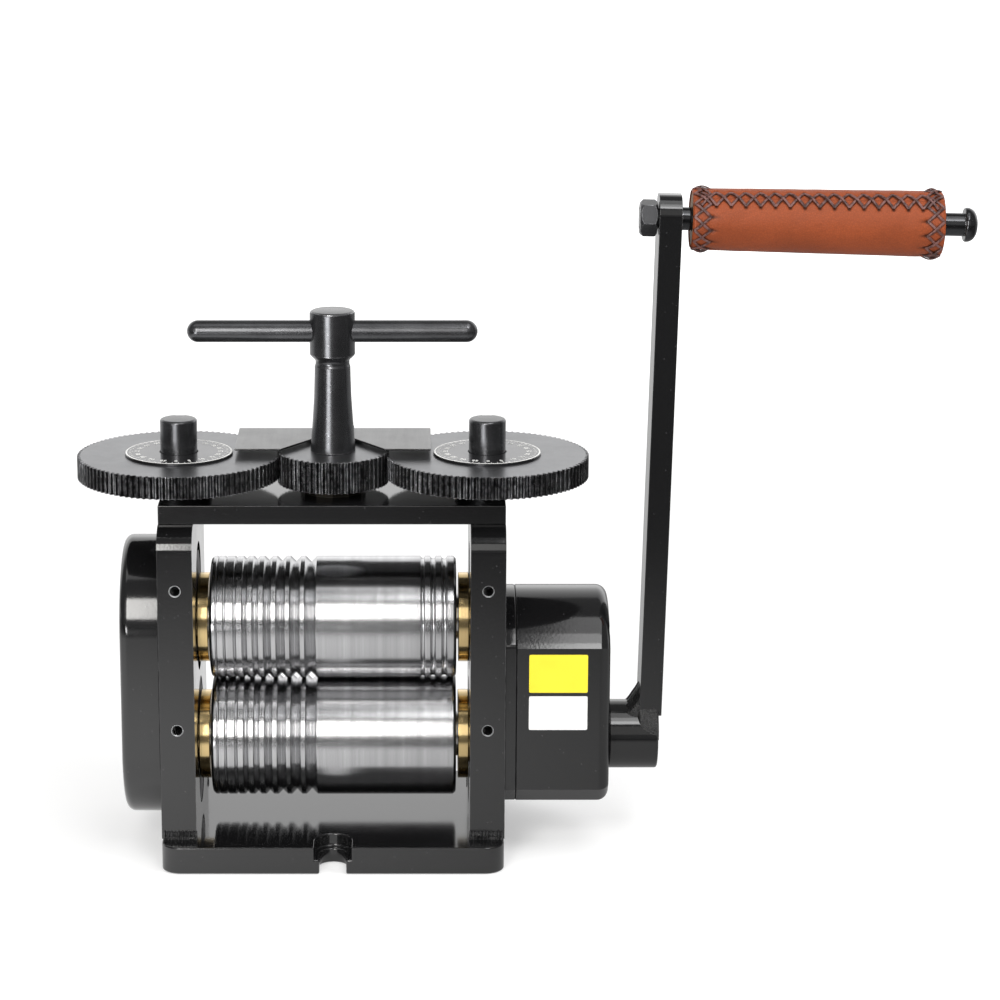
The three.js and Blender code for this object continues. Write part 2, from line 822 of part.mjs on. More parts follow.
function lowerRoll() {
  const seatX = slowPlaneX - seatGap;
  const endX = rollGearEndX + seatGap;
  const pilotBore = pilotRadius + runningGap;
  const profile = [
    ...leftNeckProfile(),
    ...barrelProfile(false),
    [neckRadius, rollLength / 2],
    [neckRadius, seatX],
    [gearSeatRadius, seatX],
    [gearSeatRadius, endX],
    [pilotBore, endX],
    [pilotBore, endX - pilotLength - seatGap],
    [0, endX - pilotLength - seatGap],
  ];
  const rightKeyway = keyway(slowPlaneX + keyInset, endX + cutOver, gearSeatRadius);
  return cut(turnedX(profile, rollSides), leftKeyway(), rightKeyway).translate(0, 0, lowerAxisZ);
}

function couplingGear(axisZ) {
  const outline = gearOutline({
    teeth: couplingTeeth,
    pitchRadius: (upperAxisZ - lowerAxisZ) / 2,
    tip: couplingTip,
    root: couplingRoot,
    thinning: couplingThinning,
    flanks: 2,
  });
  outline.holes.push(gearBore(gearSeatRadius));
  return extrudeX(outline, couplingOuterX, couplingInnerX).translate(0, 0, axisZ);
}

// Open retaining ring in the groove of a neck
function retainingRing(axisZ) {
  const inner = gearSeatRadius - ringGroove.depth + 0.35;
  const outer = gearSeatRadius + 1.6;
  const opening = 0.5;
  const shape = new THREE.Shape();
  shape.absarc(0, 0, outer, -Math.PI / 2 + opening, 1.5 * Math.PI - opening);
  shape.absarc(0, 0, inner, 1.5 * Math.PI - opening, -Math.PI / 2 + opening, true);
  shape.closePath();
  const fromX = leftGrooveX - ringGroove.width + 0.1;
  return extrudeX(shape, fromX, leftGrooveX - 0.1, arcSteps + 1).translate(0, 0, axisZ);
}

// Gear reduction
function rollGear() {
  const outline = gearOutline({
    teeth: rollGearTeeth,
    pitchRadius: (rollGearTeeth * trainModule) / 2,
    tip: trainModule,
    root: 1.25 * trainModule,
    thinning: trainThinning,
  });
  outline.holes.push(gearBore(gearSeatRadius));
  return extrudeX(outline, slowPlaneX, rollGearEndX).translate(0, 0, lowerAxisZ);
}

const layshaftLeftX = plateOuterX + 0.5;
const layshaftRightX = layshaftBoreEndX - seatGap;

function layshaftPinion() {
  const outline = gearOutline({
    teeth: layshaftPinionTeeth,
    pitchRadius: (layshaftPinionTeeth * trainModule) / 2,
    tip: trainModule,
    root: 1.25 * trainModule,
    thinning: trainThinning,
    phase: -Math.PI / 2 + Math.PI / layshaftPinionTeeth,
  });
  const seatEndX = fastPlaneX + trainWidth - seatGap;
  const shaft = turnedX([
    [0, layshaftLeftX],
    [layshaftEndRadius, layshaftLeftX],
    [layshaftEndRadius, slowPlaneX + 0.5],
    [layshaftSeatRadius, slowPlaneX + 0.5],
    [layshaftSeatRadius, seatEndX],
    [layshaftEndRadius, seatEndX],
    [layshaftEndRadius, layshaftRightX],
    [0, layshaftRightX],
  ]);
  const teeth = extrudeX(outline, slowPlaneX, rollGearEndX);
  const slot = keyway(fastPlaneX + keyInset - seatGap, seatEndX + cutOver, layshaftSeatRadius);
  return cut(join(shaft, teeth), slot).translate(0, 0, layshaftZ);
}

function layshaftGear() {
  const outline = gearOutline({
    teeth: layshaftGearTeeth,
    pitchRadius: (layshaftGearTeeth * trainModule) / 2,
    tip: (1 - crankShift) * trainModule,
    root: (1.25 + crankShift) * trainModule,
    shift: -crankShift,
    thinning: trainThinning,
    phase: -Math.PI / 2 + Math.PI / layshaftGearTeeth,
  });
  outline.holes.push(gearBore(layshaftSeatRadius));
  return extrudeX(outline, fastPlaneX, fastPlaneX + trainWidth).translate(0, 0, layshaftZ);
}

function layshaftBush(fromX, toX) {
  const profile = ringProfile(layshaftEndRadius + runningGap, layshaftBushRadius, fromX, toX);
  return turnedX(profile).translate(0, 0, layshaftZ);
}

function crankBush() {
  const profile = ringProfile(crankShaftRadius + runningGap, crankBushRadius, bossFaceX, boxFaceX - 0.1);
  return turnedX(profile).translate(0, 0, lowerAxisZ);
}

function crankPinionShaft() {
  const outline = gearOutline({
    teeth: crankTeeth,
    pitchRadius: (crankTeeth * trainModule) / 2,
    tip: 1.22 * trainModule,
    root: (1.25 - crankShift) * trainModule,
    shift: crankShift,
    thinning: trainThinning,
    flanks: 3,
  });
  const pinionEndX = fastPlaneX + trainWidth;
  const tipX = rollGearEndX + seatGap - pilotLength;
  const shaft = turnedX([
    [0, tipX],
    [pilotRadius, tipX],
    [pilotRadius, pinionEndX + 0.1],
    [crankShaftRadius, pinionEndX + 0.4],
    [crankShaftRadius, hubOuterX - 0.5],
    [0, hubOuterX - 0.5],
  ]);
  const teeth = extrudeX(outline, fastPlaneX, pinionEndX);
  return join(shaft, teeth).translate(0, 0, lowerAxisZ);
}

// Crank
const setScrewX = hubInnerX + hubLength / 2;

function crankHub() {
  const profile = ringProfile(crankShaftRadius + seatGap, hubRadius, hubInnerX, hubOuterX, hubEdge);
  const hole = rodY(setScrewRadius + seatGap, 0, hubRadius + cutOver, setScrewX, 0, holeSides);
  return cut(turnedX(profile, roundSides), hole).translate(0, 0, lowerAxisZ);
}

function hubSetScrew() {
  const outerY = hubRadius - 1;
  const body = rodY(setScrewRadius, crankShaftRadius + seatGap, outerY, setScrewX, 0, holeSides);
  const socket = rodY(setScrewRadius / 2, outerY - setScrewRadius, outerY + cutOver, setScrewX, 0, 6);
  return cut(body, socket).translate(0, 0, lowerAxisZ);
}

// The arm and the handle lean outwards together. The lean turns about the foot of the arm.
const crankArmGroup = new THREE.Group();
crankArmGroup.position.set(armFootX, 0, lowerAxisZ);
crankArmGroup.rotation.y = armLean;
mill.add(crankArmGroup);

function crankArm() {
  const half = armWidth / 2;
  const outline = new THREE.Shape();
  outline.moveTo(-half, 0);
  outline.lineTo(half, 0);
  outline.absarc(0, armLength, half, 0, Math.PI);
  outline.closePath();
  const bar = edgedX(outline, -armThickness / 2, armThickness / 2, 0.5);
  const saddle = rodX(hubRadius + seatGap, -hubLength, hubLength, 0, 0, roundSides).rotateY(-armLean);
  const hole = rodX(boltRadius + seatGap, -armThickness, armThickness, 0, armLength);
  return cut(bar, saddle, hole);
}

function handleBolt() {
  const shoulderX = armThickness / 2 + seatGap;
  const threadEndX = -armThickness / 2 - nutThickness - 1.4;
  const headX = boltShankEnd;
  const profile = [
    [0, threadEndX],
    [boltRadius - 0.5, threadEndX],
    [boltRadius, threadEndX + 0.5],
    [boltRadius, shoulderX],
    [boltShankRadius, shoulderX],
    [boltShankRadius, headX],
    [boltHeadRadius - 0.3, headX],
    [boltHeadRadius, headX + 0.5],
  ];
  for (const angle of [20, 45, 70]) {
    const turn = THREE.MathUtils.degToRad(angle);
    profile.push([boltHeadRadius * Math.cos(turn), headX + 0.5 + (boltHeadHeight - 0.5) * Math.sin(turn)]);
  }
  profile.push([0, headX + boltHeadHeight]);
  return turnedX(profile).translate(0, 0, armLength);
}

function handleNut() {
  const outer = nutAcrossFlats / 2 / Math.cos(Math.PI / 6);
  const outline = new THREE.Shape();
  for (let corner = 0; corner < 6; corner += 1) {
    const angle = (Math.PI / 3) * corner;
    const point = [outer * Math.cos(angle), outer * Math.sin(angle)];
    if (corner === 0) {
      outline.moveTo(...point);
    } else {
      outline.lineTo(...point);
    }
  }
  outline.closePath();
  outline.holes.push(circlePath(0, 0, boltRadius + seatGap));
  const right = -armThickness / 2 - seatGap;
  return edgedX(outline, right - nutThickness, right, 0.4).translate(0, 0, armLength);
}

function gripCore() {
  const outer = gripRadius - leatherThickness - seatGap;
  const profile = ringProfile(gripBoreRadius, outer, gripStart + 0.6, gripStart + gripLength - 0.6, 0.8);
  return turnedX(profile).translate(0, 0, armLength);
}

// Leather sleeve: a little fuller where its two ends are sewn over the core
function gripLeather() {
  const inner = gripRadius - leatherThickness;
  const end = gripStart + gripLength;
  const profile = [
    [inner, gripStart],
    [gripCollarRadius - 0.9, gripStart],
    [gripCollarRadius, gripStart + 0.9],
    [gripCollarRadius, gripStart + 3.4],
    [gripRadius, gripStart + 5.5],
    [gripRadius, end - 5.5],
    [gripCollarRadius, end - 3.4],
    [gripCollarRadius, end - 0.9],
    [gripCollarRadius - 0.9, end],
    [inner, end],
    [inner, gripStart],
  ];
  return turnedX(profile, roundSides).translate(0, 0, armLength);
}

// Adjusting gears
function adjustingPinion() {
  const outline = gearOutline({
    teeth: pinionTeeth,
    pitchRadius: (pinionTeeth * dialModule) / 2,
    tip: dialAddendum,
    root: dialDedendum,
    thinning: dialThinning,
    phase: 0,
  });
  const top = pinionSeatRadius + pinionKey.height / 2 + seatGap;
  outline.holes.push(keyedBore(pinionSeatRadius + seatGap, pinionKey.width / 2 + seatGap, top));
  return extrudeZ(outline, pinionBottomZ, pinionTopZ);
}

function pinionKeyBlock() {
  const half = pinionKey.width / 2;
  const low = pinionSeatRadius - pinionKey.height / 2;
  const middle = (pinionBottomZ + pinionTopZ) / 2;
  const reach = pinionKey.length / 2;
  return block(-half, half, low, low + pinionKey.height, middle - reach, middle + reach);
}

function dialGear(sign) {
  const outline = gearOutline({
    teeth: dialTeeth,
    pitchRadius: (dialTeeth * dialModule) / 2,
    tip: dialAddendum,
    root: dialDedendum,
    thinning: dialThinning,
    phase: Math.PI / dialTeeth,
  });
  outline.holes.push(dialBore());
  return extrudeZ(outline, dialBottomZ, dialTopZ).translate(sign * pressureScrewX, 0, 0);
}

// The dial's bore has a tongue that drives the pressure screw and lets it slide
function dialBore() {
  const tongueTop = postRadius - postKeyDepth + runningGap;
  return keyedBore(postRadius + runningGap, postKeyWidth / 2, tongueTop);
}

function dialPlate(sign) {
  const top = dialTopZ + dialPlateThickness;
  const profile = ringProfile(postRadius + runningGap, dialPlateRadius, dialTopZ, top);
  return turnedZ(profile, rollSides).translate(sign * pressureScrewX, 0, 0);
}

function dialCollar(sign) {
  const profile = ringProfile(postRadius + runningGap, collarRadius, crownTopZ, dialBottomZ - seatGap, 0.4);
  return turnedZ(profile, roundSides).translate(sign * pressureScrewX, 0, 0);
}

// Pressure screw: it bears on the upper bearing block and slides through its dial gear
function pressureScrew(sign) {
  const bottom = upperBlockTopZ + seatGap;
  const shoulder = crownTopZ + postBottomLift;
  const body = turnedZ([
    [0, bottom],
    [pressureScrewRadius - 0.6, bottom],
    [pressureScrewRadius, bottom + 0.6],
    [pressureScrewRadius, shoulder],
    [postRadius, shoulder],
    [postRadius, postTopZ - postEdge],
    [postRadius - postEdge, postTopZ],
    [0, postTopZ],
  ], roundSides);
  const half = postKeyWidth / 2 + runningGap;
  const floor = postRadius - postKeyDepth;
  const slotBottom = dialBottomZ - rollOpening - 1;
  const slot = block(-half, half, floor, postRadius + cutOver, slotBottom, postTopZ + cutOver);
  return cut(body, slot).translate(sign * pressureScrewX, 0, 0);
}

// T-handle
function pinionBush() {
  const inner = spindleRadius + runningGap;
  const profile = [
    [inner, plateTopZ + 0.1],
    [pinionBushRadius, plateTopZ + 0.1],
    [pinionBushRadius, crownTopZ],
    [pinionBushFlangeRadius, crownTopZ],
    [pinionBushFlangeRadius, pinionBottomZ - runningGap],
    [inner, pinionBottomZ - runningGap],
    [inner, plateTopZ + 0.1],
  ];
  return turnedZ(profile);
}

const spindleEndZ = plateTopZ - seatGap;
const washerBottomZ = spindleEndZ - spindleWasher.thickness;

function tColumn() {
  const body = turnedZ([
    [0, spindleEndZ],
    [spindleRadius, spindleEndZ],
    [spindleRadius, pinionBottomZ],
    [pinionSeatRadius, pinionBottomZ],
    [pinionSeatRadius, pinionTopZ],
    [columnFootRadius, pinionTopZ],
    [columnNeckRadius, columnNeckZ],
    [grooveRadius, columnNeckZ + 1],
    [grooveRadius, columnNeckZ + 2.2],
    [handleHubRadius, handleHubBottomZ],
    [handleHubRadius, handleHubTopZ - handleHubEdge],
    [handleHubRadius - handleHubEdge, handleHubTopZ],
    [0, handleHubTopZ],
  ], roundSides);
  const reach = handleHubRadius + cutOver;
  const cross = rodX(handleBarRadius + seatGap, -reach, reach, 0, handleBarZ);
  const tapped = rodZ(
    spindleScrew.radius + seatGap,
    spindleEndZ - cutOver,
    washerBottomZ + spindleScrew.length + seatGap,
    0,
    0,
    holeSides,
  );
  const half = pinionKey.width / 2 + seatGap;
  const middle = (pinionBottomZ + pinionTopZ) / 2;
  const slotHalf = pinionKey.length / 2 + seatGap;
  const floor = pinionSeatRadius - pinionKey.height / 2 - seatGap;
  const slot = block(-half, half, floor, pinionSeatRadius + 1, middle - slotHalf, middle + slotHalf);
  return cut(body, cross, tapped, slot);
}

function tBar() {
  const round = handleBarRadius;
  const profile = [];
  const steps = 3;
  for (let i = 0; i <= steps; i += 1) {
    const turn = (Math.PI / 2) * (i / steps);
    profile.push([round * Math.sin(turn), -handleBarReach + round * (1 - Math.cos(turn))]);
  }
  for (let i = steps; i >= 0; i -= 1) {
    const turn = (Math.PI / 2) * (i / steps);
    profile.push([round * Math.sin(turn), handleBarReach - round * (1 - Math.cos(turn))]);
  }
  return turnedX(profile).translate(0, 0, handleBarZ);
}

function spindleWasherRing() {
  return turnedZ(ringProfile(spindleWasher.boreRadius, spindleWasher.radius, washerBottomZ, spindleEndZ));
}

function spindleRetainingScrew() {
  const headBottomZ = washerBottomZ - spindleScrew.headHeight;
  const body = turnedZ([
    [0, headBottomZ],
    [spindleScrew.headRadius, headBottomZ],
    [spindleScrew.headRadius, washerBottomZ],
    [spindleScrew.radius, washerBottomZ],
    [spindleScrew.radius, washerBottomZ + spindleScrew.length],
    [0, washerBottomZ + spindleScrew.length],
  ], holeSides);
  return cut(body, rodZ(1.3, headBottomZ - cutOver, headBottomZ + 1.2, 0, 0, 6));
}

// Index plate, its bracket on the rear of the crown, and the screws
function indexPlate() {
  const outline = new THREE.Shape();
  outline.moveTo(-indexHalfWidth, indexFrontY);
  outline.lineTo(-indexNotchHalfWidth, indexFrontY);
  outline.lineTo(0, indexNotchY);
  outline.lineTo(indexNotchHalfWidth, indexFrontY);
  outline.lineTo(indexHalfWidth, indexFrontY);
  outline.lineTo(indexHalfWidth, indexRearY);
  outline.lineTo(-indexHalfWidth, indexRearY);
  outline.closePath();
  return extrudeZ(outline, indexBottomZ, indexBottomZ + indexThickness);
}

const bracketBottomZ = plateTopZ + 0.4;

function indexBracket() {
  const rear = crownDepth / 2;
  return block(
    -bracketHalfWidth,
    bracketHalfWidth,
    rear,
    indexRearY,
    bracketBottomZ,
    indexBottomZ,
  );
}

// Assembly: the frame
add('base_plate', basePlate(), 'blackPaint');
add('crown_plate', crownPlate(), 'blackPaint');
add('left_gear_cover', leftGearCover(), 'blackPaint');
add('gearbox_adapter_plate', gearboxAdapterPlate(), 'blackPaint');
add('gearbox_cover', gearboxCover(), 'blackPaint');
add('crank_bush', crankBush(), 'brass');
add('layshaft_inner_bush', layshaftBush(plateOuterX + seatGap, adapterOuterX), 'brass');
add('layshaft_outer_bush', layshaftBush(bossFaceX, layshaftBoreEndX - seatGap / 2), 'brass');
for (const { side, sign } of sides) {
  add(`${side}_side_plate`, sidePlate(sign), 'blackPaint');
  add(`lower_${side}_bearing_block`, bearingBlock(
    sign,
    lowerAxisZ,
    lowerWindow[0] + runningGap,
    lowerWindow[1] - runningGap,
  ), 'castIron');
  add(`lower_${side}_bush`, flangedBush(sign, lowerAxisZ), 'brass');
  add(`${side}_lift_spring`, liftSpring(sign * pressureScrewX), 'springSteel');
  add(`${side}_dial_collar`, dialCollar(sign), 'blackOxide');
}
add('pinion_bush', pinionBush(), 'brass');
add('index_bracket', indexBracket(), 'blackPaint');
add('index_plate', indexPlate(), 'blackOxide');

// Upper bearings and rolls
for (const { side, sign } of sides) {
  add(`upper_${side}_bearing_block`, bearingBlock(
    sign,
    upperAxisZ,
    upperBlockBottomZ,
    upperBlockTopZ,
  ), 'castIron');
  add(`upper_${side}_bush`, flangedBush(sign, upperAxisZ), 'brass');
}
add('upper_roll', upperRoll(), 'rollSteel');
add('lower_roll', lowerRoll(), 'rollSteel');
for (const [level, axisZ] of [['upper', upperAxisZ], ['lower', lowerAxisZ]]) {
  add(`${level}_coupling_gear`, couplingGear(axisZ), 'steel');
  add(`${level}_gear_key`, key(leftKeyX[0], leftKeyX[1], gearSeatRadius, axisZ), 'steel');
  add(`${level}_retaining_ring`, retainingRing(axisZ), 'springSteel');
}

// Reduction and crank
add('roll_gear', rollGear(), 'steel');
add('roll_gear_key', key(
  slowPlaneX + keyInset + seatGap,
  rollGearEndX - keyInset,
  gearSeatRadius,
  lowerAxisZ,
), 'steel');
add('layshaft_pinion', layshaftPinion(), 'steel');
add('layshaft_gear', layshaftGear(), 'steel');
add('layshaft_gear_key', key(
  fastPlaneX + keyInset,
  fastPlaneX + trainWidth - keyInset - seatGap,
  layshaftSeatRadius,
  layshaftZ,
), 'steel');
add('crank_pinion_shaft', crankPinionShaft(), 'steel');
add('crank_hub', crankHub(), 'blackPaint');
add('hub_set_screw', hubSetScrew(), 'blackOxide');
add('crank_arm', crankArm(), 'blackPaint', crankArmGroup);
add('handle_bolt', handleBolt(), 'blackOxide', crankArmGroup);
add('handle_nut', handleNut(), 'blackOxide', crankArmGroup);
add('grip_core', gripCore(), 'wood', crankArmGroup);
add('grip_leather', gripLeather(), 'leather', crankArmGroup);

// Screw-down
add('adjusting_pinion', adjustingPinion(), 'blackOxide');
add('pinion_key', pinionKeyBlock(), 'steel');
add('t_column', tColumn(), 'blackOxide');
add('t_bar', tBar(), 'blackOxide');
add('spindle_washer', spindleWasherRing(), 'steel');
add('spindle_screw', spindleRetainingScrew(), 'steel');
for (const { side, sign } of sides) {
  add(`${side}_dial_gear`, dialGear(sign), 'blackOxide');
  add(`${side}_dial_plate`, dialPlate(sign), 'scale');
  add(`${side}_pressure_screw`, pressureScrew(sign), 'blackOxide');
}

export default mill;
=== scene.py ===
"""Jewellers rolling mill: the visible pieces and their finishes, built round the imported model."""

import json
import math

import bmesh
import bpy
from mathutils import Matrix, Vector, noise


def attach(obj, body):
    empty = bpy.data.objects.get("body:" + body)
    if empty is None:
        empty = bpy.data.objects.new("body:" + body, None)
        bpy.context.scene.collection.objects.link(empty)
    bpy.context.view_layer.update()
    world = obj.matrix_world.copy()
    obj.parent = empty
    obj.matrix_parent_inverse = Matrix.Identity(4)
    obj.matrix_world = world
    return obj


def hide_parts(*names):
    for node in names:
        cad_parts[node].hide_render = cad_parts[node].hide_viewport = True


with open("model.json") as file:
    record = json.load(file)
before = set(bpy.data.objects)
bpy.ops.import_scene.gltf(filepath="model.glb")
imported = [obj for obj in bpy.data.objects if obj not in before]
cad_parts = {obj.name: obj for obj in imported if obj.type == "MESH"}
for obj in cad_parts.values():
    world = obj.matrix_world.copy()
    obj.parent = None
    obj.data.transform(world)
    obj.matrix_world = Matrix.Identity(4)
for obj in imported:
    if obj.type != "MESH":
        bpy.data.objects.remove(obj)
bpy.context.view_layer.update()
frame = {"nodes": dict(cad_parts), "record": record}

bl_info = {
    "name": "Jewellers rolling mill",
    "version": (1, 0, 0),
    "blender": (4, 5, 0),
    "location": "3D View > Sidebar > Mill",
    "description": "Builds a hand-cranked rolling mill with its paint, steel, brass and leather",
    "category": "Add Mesh",
}

# Sizes below are millimetres, as in the solids, and meshes are scaled to metres when made
MM = 0.001

# Axes of the turning pieces
LOWER_AXIS = 33.5
UPPER_AXIS = 71.9
LAYSHAFT_AXIS = 53.75
DIAL_X = 47.625
ARM_FOOT = (98.85, 0.0, LOWER_AXIS)
ARM_LEAN = math.radians(1.25)
ARM_LENGTH = 164.3

# Side plates, base and crown
PLATE_INNER = 42.25
PLATE_OUTER = 53.0
PLATE_HALF_DEPTH = 28.0
PLATE_TOP = 106.9
SHOULDER = 7.7
WINDOWS = ((11.1, 52.1), (55.0, 96.0))
WINDOW_RADIUS = 11.0
TAPPED_HEIGHTS = (43.6, 88.0)
BASE_TOP = 8.5
BASE_HALF_DEPTH = 36.25
BASE_CORNER = 6.0
CROWN_TOP = 112.8
CROWN_HALF_DEPTH = 20.0

# Left cover and gearbox, with the screws on their faces as (y, z)
COVER_FACE = -65.2
COVER_MIDDLE = 53.6
COVER_SCREWS = [(y, COVER_MIDDLE) for y in (-17, 17)]
BOX_SEAM = 56.4
BOX_FACE = 85.4
BOX_HALF_DEPTH = 24.0
BOX_SCREWS = [(side * y, z) for y, z in ((17.2, 25.6), (15.3, 70.2)) for side in (-1, 1)]

# Dials, pinion and T-handle
DIAL_BOTTOM = 117.4
DIAL_TOP = 124.4
DIAL_TEETH = 100
DIAL_PITCH_RADIUS = 30.925
PINION_TEETH = 54
PINION_PITCH_RADIUS = 16.7
PINION_BOTTOM = 115.5
PINION_TOP = 125.4
TOOTH_HALF_HEIGHT = 0.45
POST_RADIUS = 5.7
POST_TOP = 135.5
SCALE_RADIUS = 16.65
SCALE_TOP = 125.1
SCALE_BORE = 6.0
DIGIT_RADIUS = 13.0
DIGIT_HEIGHT = 2.2
DIGIT_COUNT = 20
LEAF_BOTTOM = 126.3
LEAF_TOP = 126.9
LEAF_SIDE = 30.2
LEAF_FRONT = -4.3
LEAF_BACK = 24.2
BAR_HEIGHT = 162.9
BAR_RADIUS = 3.4
BAR_REACH = 44.5

# Rolls, with each groove as (distance from the roll's end, width)
ROLL_RADIUS = 19.05
ROLL_END = 38.1
NECK_RADIUS = 7.0
WIRE_GROOVES = [(2.1, 0.6), (4.6, 0.8), (7.8, 0.95), (10.8, 1.6), (14.1, 1.9), (17.8, 2.4),
                (21.9, 2.85), (26.3, 3.2), (31.05, 3.5)]
ROUND_GROOVES = [(10.4, 1.3), (7.2, 1.6), (3.7, 1.75)]

# Crank hub and arm
HUB_RADIUS = 10.8
HUB_END = 101.5
ARM_HALF_WIDTH = 7.5
ARM_HALF_THICKNESS = 3.45
ARM_CORNER = 6.2
BOLT_HOLE = 3.3
NUT_RADIUS = 5.77
NUT_TURN = 2.264

# Handle grip, measured along the arm's own axes
GRIP_START = 6.5
GRIP_LENGTH = 76.0
GRIP_RADIUS = 9.7
GRIP_END_RADIUS = 9.6
GRIP_BORE = 8.6
GRIP_TAPER = 0.7
SEAM_START = 2.5
HALF_LACE = 2.7
END_LACE = 4.9
END_HOLE = 0.9
LACE_ANGLE = math.radians(51.5)

ARM_PLACE = Matrix.Translation(ARM_FOOT) @ Matrix.Rotation(ARM_LEAN, 4, "Y")
ARM_TOP = ARM_PLACE @ Matrix.Translation((0, 0, ARM_LENGTH))
ALONG_X = Matrix.Rotation(math.pi / 2, 4, "Y")
ALONG_Y = Matrix.Rotation(-math.pi / 2, 4, "X")
UPRIGHT = Matrix.Rotation(math.pi / 2, 4, "X")
# For a plate drawn in (y, z), whose thickness runs along x
CYCLE = Matrix(((0, 0, 1, 0), (1, 0, 0, 0), (0, 1, 0, 0), (0, 0, 0, 1)))
SIDES = (("left", -1), ("right", 1))


def length(label, description, default, low, high):
    return bpy.props.FloatProperty(
        name=label, description=description, default=default, min=low, max=high, unit="LENGTH")


def number(label, description, default, low, high):
    return bpy.props.IntProperty(name=label, description=description, default=default, min=low, max=high)


def colour(label, description, default):
    return bpy.props.FloatVectorProperty(
        name=label, description=description, default=default, size=3, min=0, max=1, subtype="COLOR")


class MillSizes(bpy.types.PropertyGroup):
    """Sizes of the details that the solids leave plain"""

    edge_rounding: length("Edge rounding", "Width of the rounded edge of a painted plate", 0.0005, 0.0, 0.002)
    groove_edge: length(
        "Groove edge", "Rounding at the mouth of each groove in the rolls", 0.00008, 0.0, 0.0003)
    scale_marks: number("Scale marks", "Number of graduations on each dial's scale", 50, 10, 200)
    lace_width: length("Lace width", "Width of the flat lace that sews the grip", 0.00075, 0.0004, 0.003)
    seam_crosses: number("Seam crosses", "Number of crosses along the grip's seam", 16, 4, 40)
    end_crosses: number("End crosses", "Number of crosses round each end of the grip", 14, 6, 40)
    weld_width: length("Weld width", "Width of the weld beads at the column feet", 0.0026, 0.0005, 0.006)


class MillColours(bpy.types.PropertyGroup):
    """Colours of the mill's finishes"""

    paint: colour("Paint", "Gloss paint of the frame, covers and arm", (0.0062, 0.0062, 0.0066))
    blackened: colour("Blackened steel", "Dials, pinion, T-handle and handle bolt", (0.082, 0.083, 0.087))
    roll: colour("Roll steel", "Ground and polished steel of the rolls", (0.61, 0.61, 0.62))
    brass: colour("Brass", "Turned brass of the bushes", (0.68, 0.51, 0.25))
    leather: colour("Leather", "Tan leather of the grip", (0.265, 0.052, 0.012))
    lace: colour("Lace", "Flat lace that sews the grip", (0.11, 0.048, 0.042))


# Meshes


def finish_of(name):
    return bpy.data.materials[name]


def at(x=0.0, y=0.0, z=0.0):
    """A place without a turn."""
    return Matrix.Translation((x, y, z))


def linked(name, data):
    """A new object in the scene."""
    made = bpy.data.objects.new(name, data)
    bpy.context.scene.collection.objects.link(made)
    return made


def smoothed(mesh, crease):
    mesh.shade_smooth()
    mesh.set_sharp_from_angle(angle=math.radians(crease))


def mesh_object(name, shape, finish, place=Matrix(), crease=32):
    """A piece from a shape's vertices and faces in millimetres, smooth up to the crease angle."""
    vertices, faces = shape
    mesh = bpy.data.meshes.new(name)
    mesh.from_pydata([(place @ Vector(v)) * MM for v in vertices], [], faces)
    return finish_mesh(name, mesh, finish, crease)


def finish_mesh(name, mesh, finish, crease=32):
    """Merges doubles, turns the faces outwards, sets the shading and links the object."""
    work = bmesh.new()
    work.from_mesh(mesh)
    bmesh.ops.remove_doubles(work, verts=work.verts, dist=2e-6)
    bmesh.ops.recalc_face_normals(work, faces=work.faces)
    work.to_mesh(mesh)
    work.free()
    mesh.materials.clear()
    mesh.materials.append(finish_of(finish))
    smoothed(mesh, crease)
    return linked(name, mesh)


def turned(profile, steps=96):
    """A profile of (radius, height) turned round +Z. A radius of 0 closes it."""
    vertices, faces, rings = [], [], []
    for radius, height in profile:
        first = len(vertices)
        if radius < 1e-6:
            vertices.append((0, 0, height))
            rings.append([first])
            continue
        vertices += [(x, y, height) for x, y in circle(0, 0, radius, steps)]
        rings.append(list(range(first, first + steps)))
    for low, high in zip(rings, rings[1:]):
        for i in range(steps):
            j = (i + 1) % steps
            corners = [low[i % len(low)], low[j % len(low)], high[j % len(high)], high[i % len(high)]]
            corners = list(dict.fromkeys(corners))
            if len(corners) > 2:
                faces.append(corners)
    return vertices, faces


def drum(radius, low, high, steps):
    """A plain round body, for a cutter."""
    return turned([(0, low), (radius, low), (radius, high), (0, high)], steps)


def rounded(profile, sizes, steps=4):
    """The profile with the corners named in sizes, {index: radius}, rounded."""
    points = []
    for index, corner in enumerate(profile):
        if index not in sizes:
            points.append(corner)
            continue
        here = Vector(corner)
        before = Vector(profile[index - 1]) - here
        after = Vector(profile[(index + 1) % len(profile)]) - here
        reach = min(sizes[index], before.length * 0.49, after.length * 0.49)
        start = here + before.normalized() * reach
        end = here + after.normalized() * reach
        for i in range(steps + 1):
            t = i / steps
            point = start * (1 - t) ** 2 + here * 2 * t * (1 - t) + end * t ** 2
            points.append((point.x, point.y))
    return points


def loft(rings):
    """Closed rings of equal length joined in order, with the first and the last filled."""
    count = len(rings[0])
    vertices = [corner for ring in rings for corner in ring]
    faces = [list(range(count))[::-1], list(range(count * (len(rings) - 1), count * len(rings)))]
    for level in range(len(rings) - 1):
        low = level * count
        high = low + count
        for i in range(count):
            j = (i + 1) % count
            faces.append((low + i, low + j, high + j, high + i))
    return vertices, faces


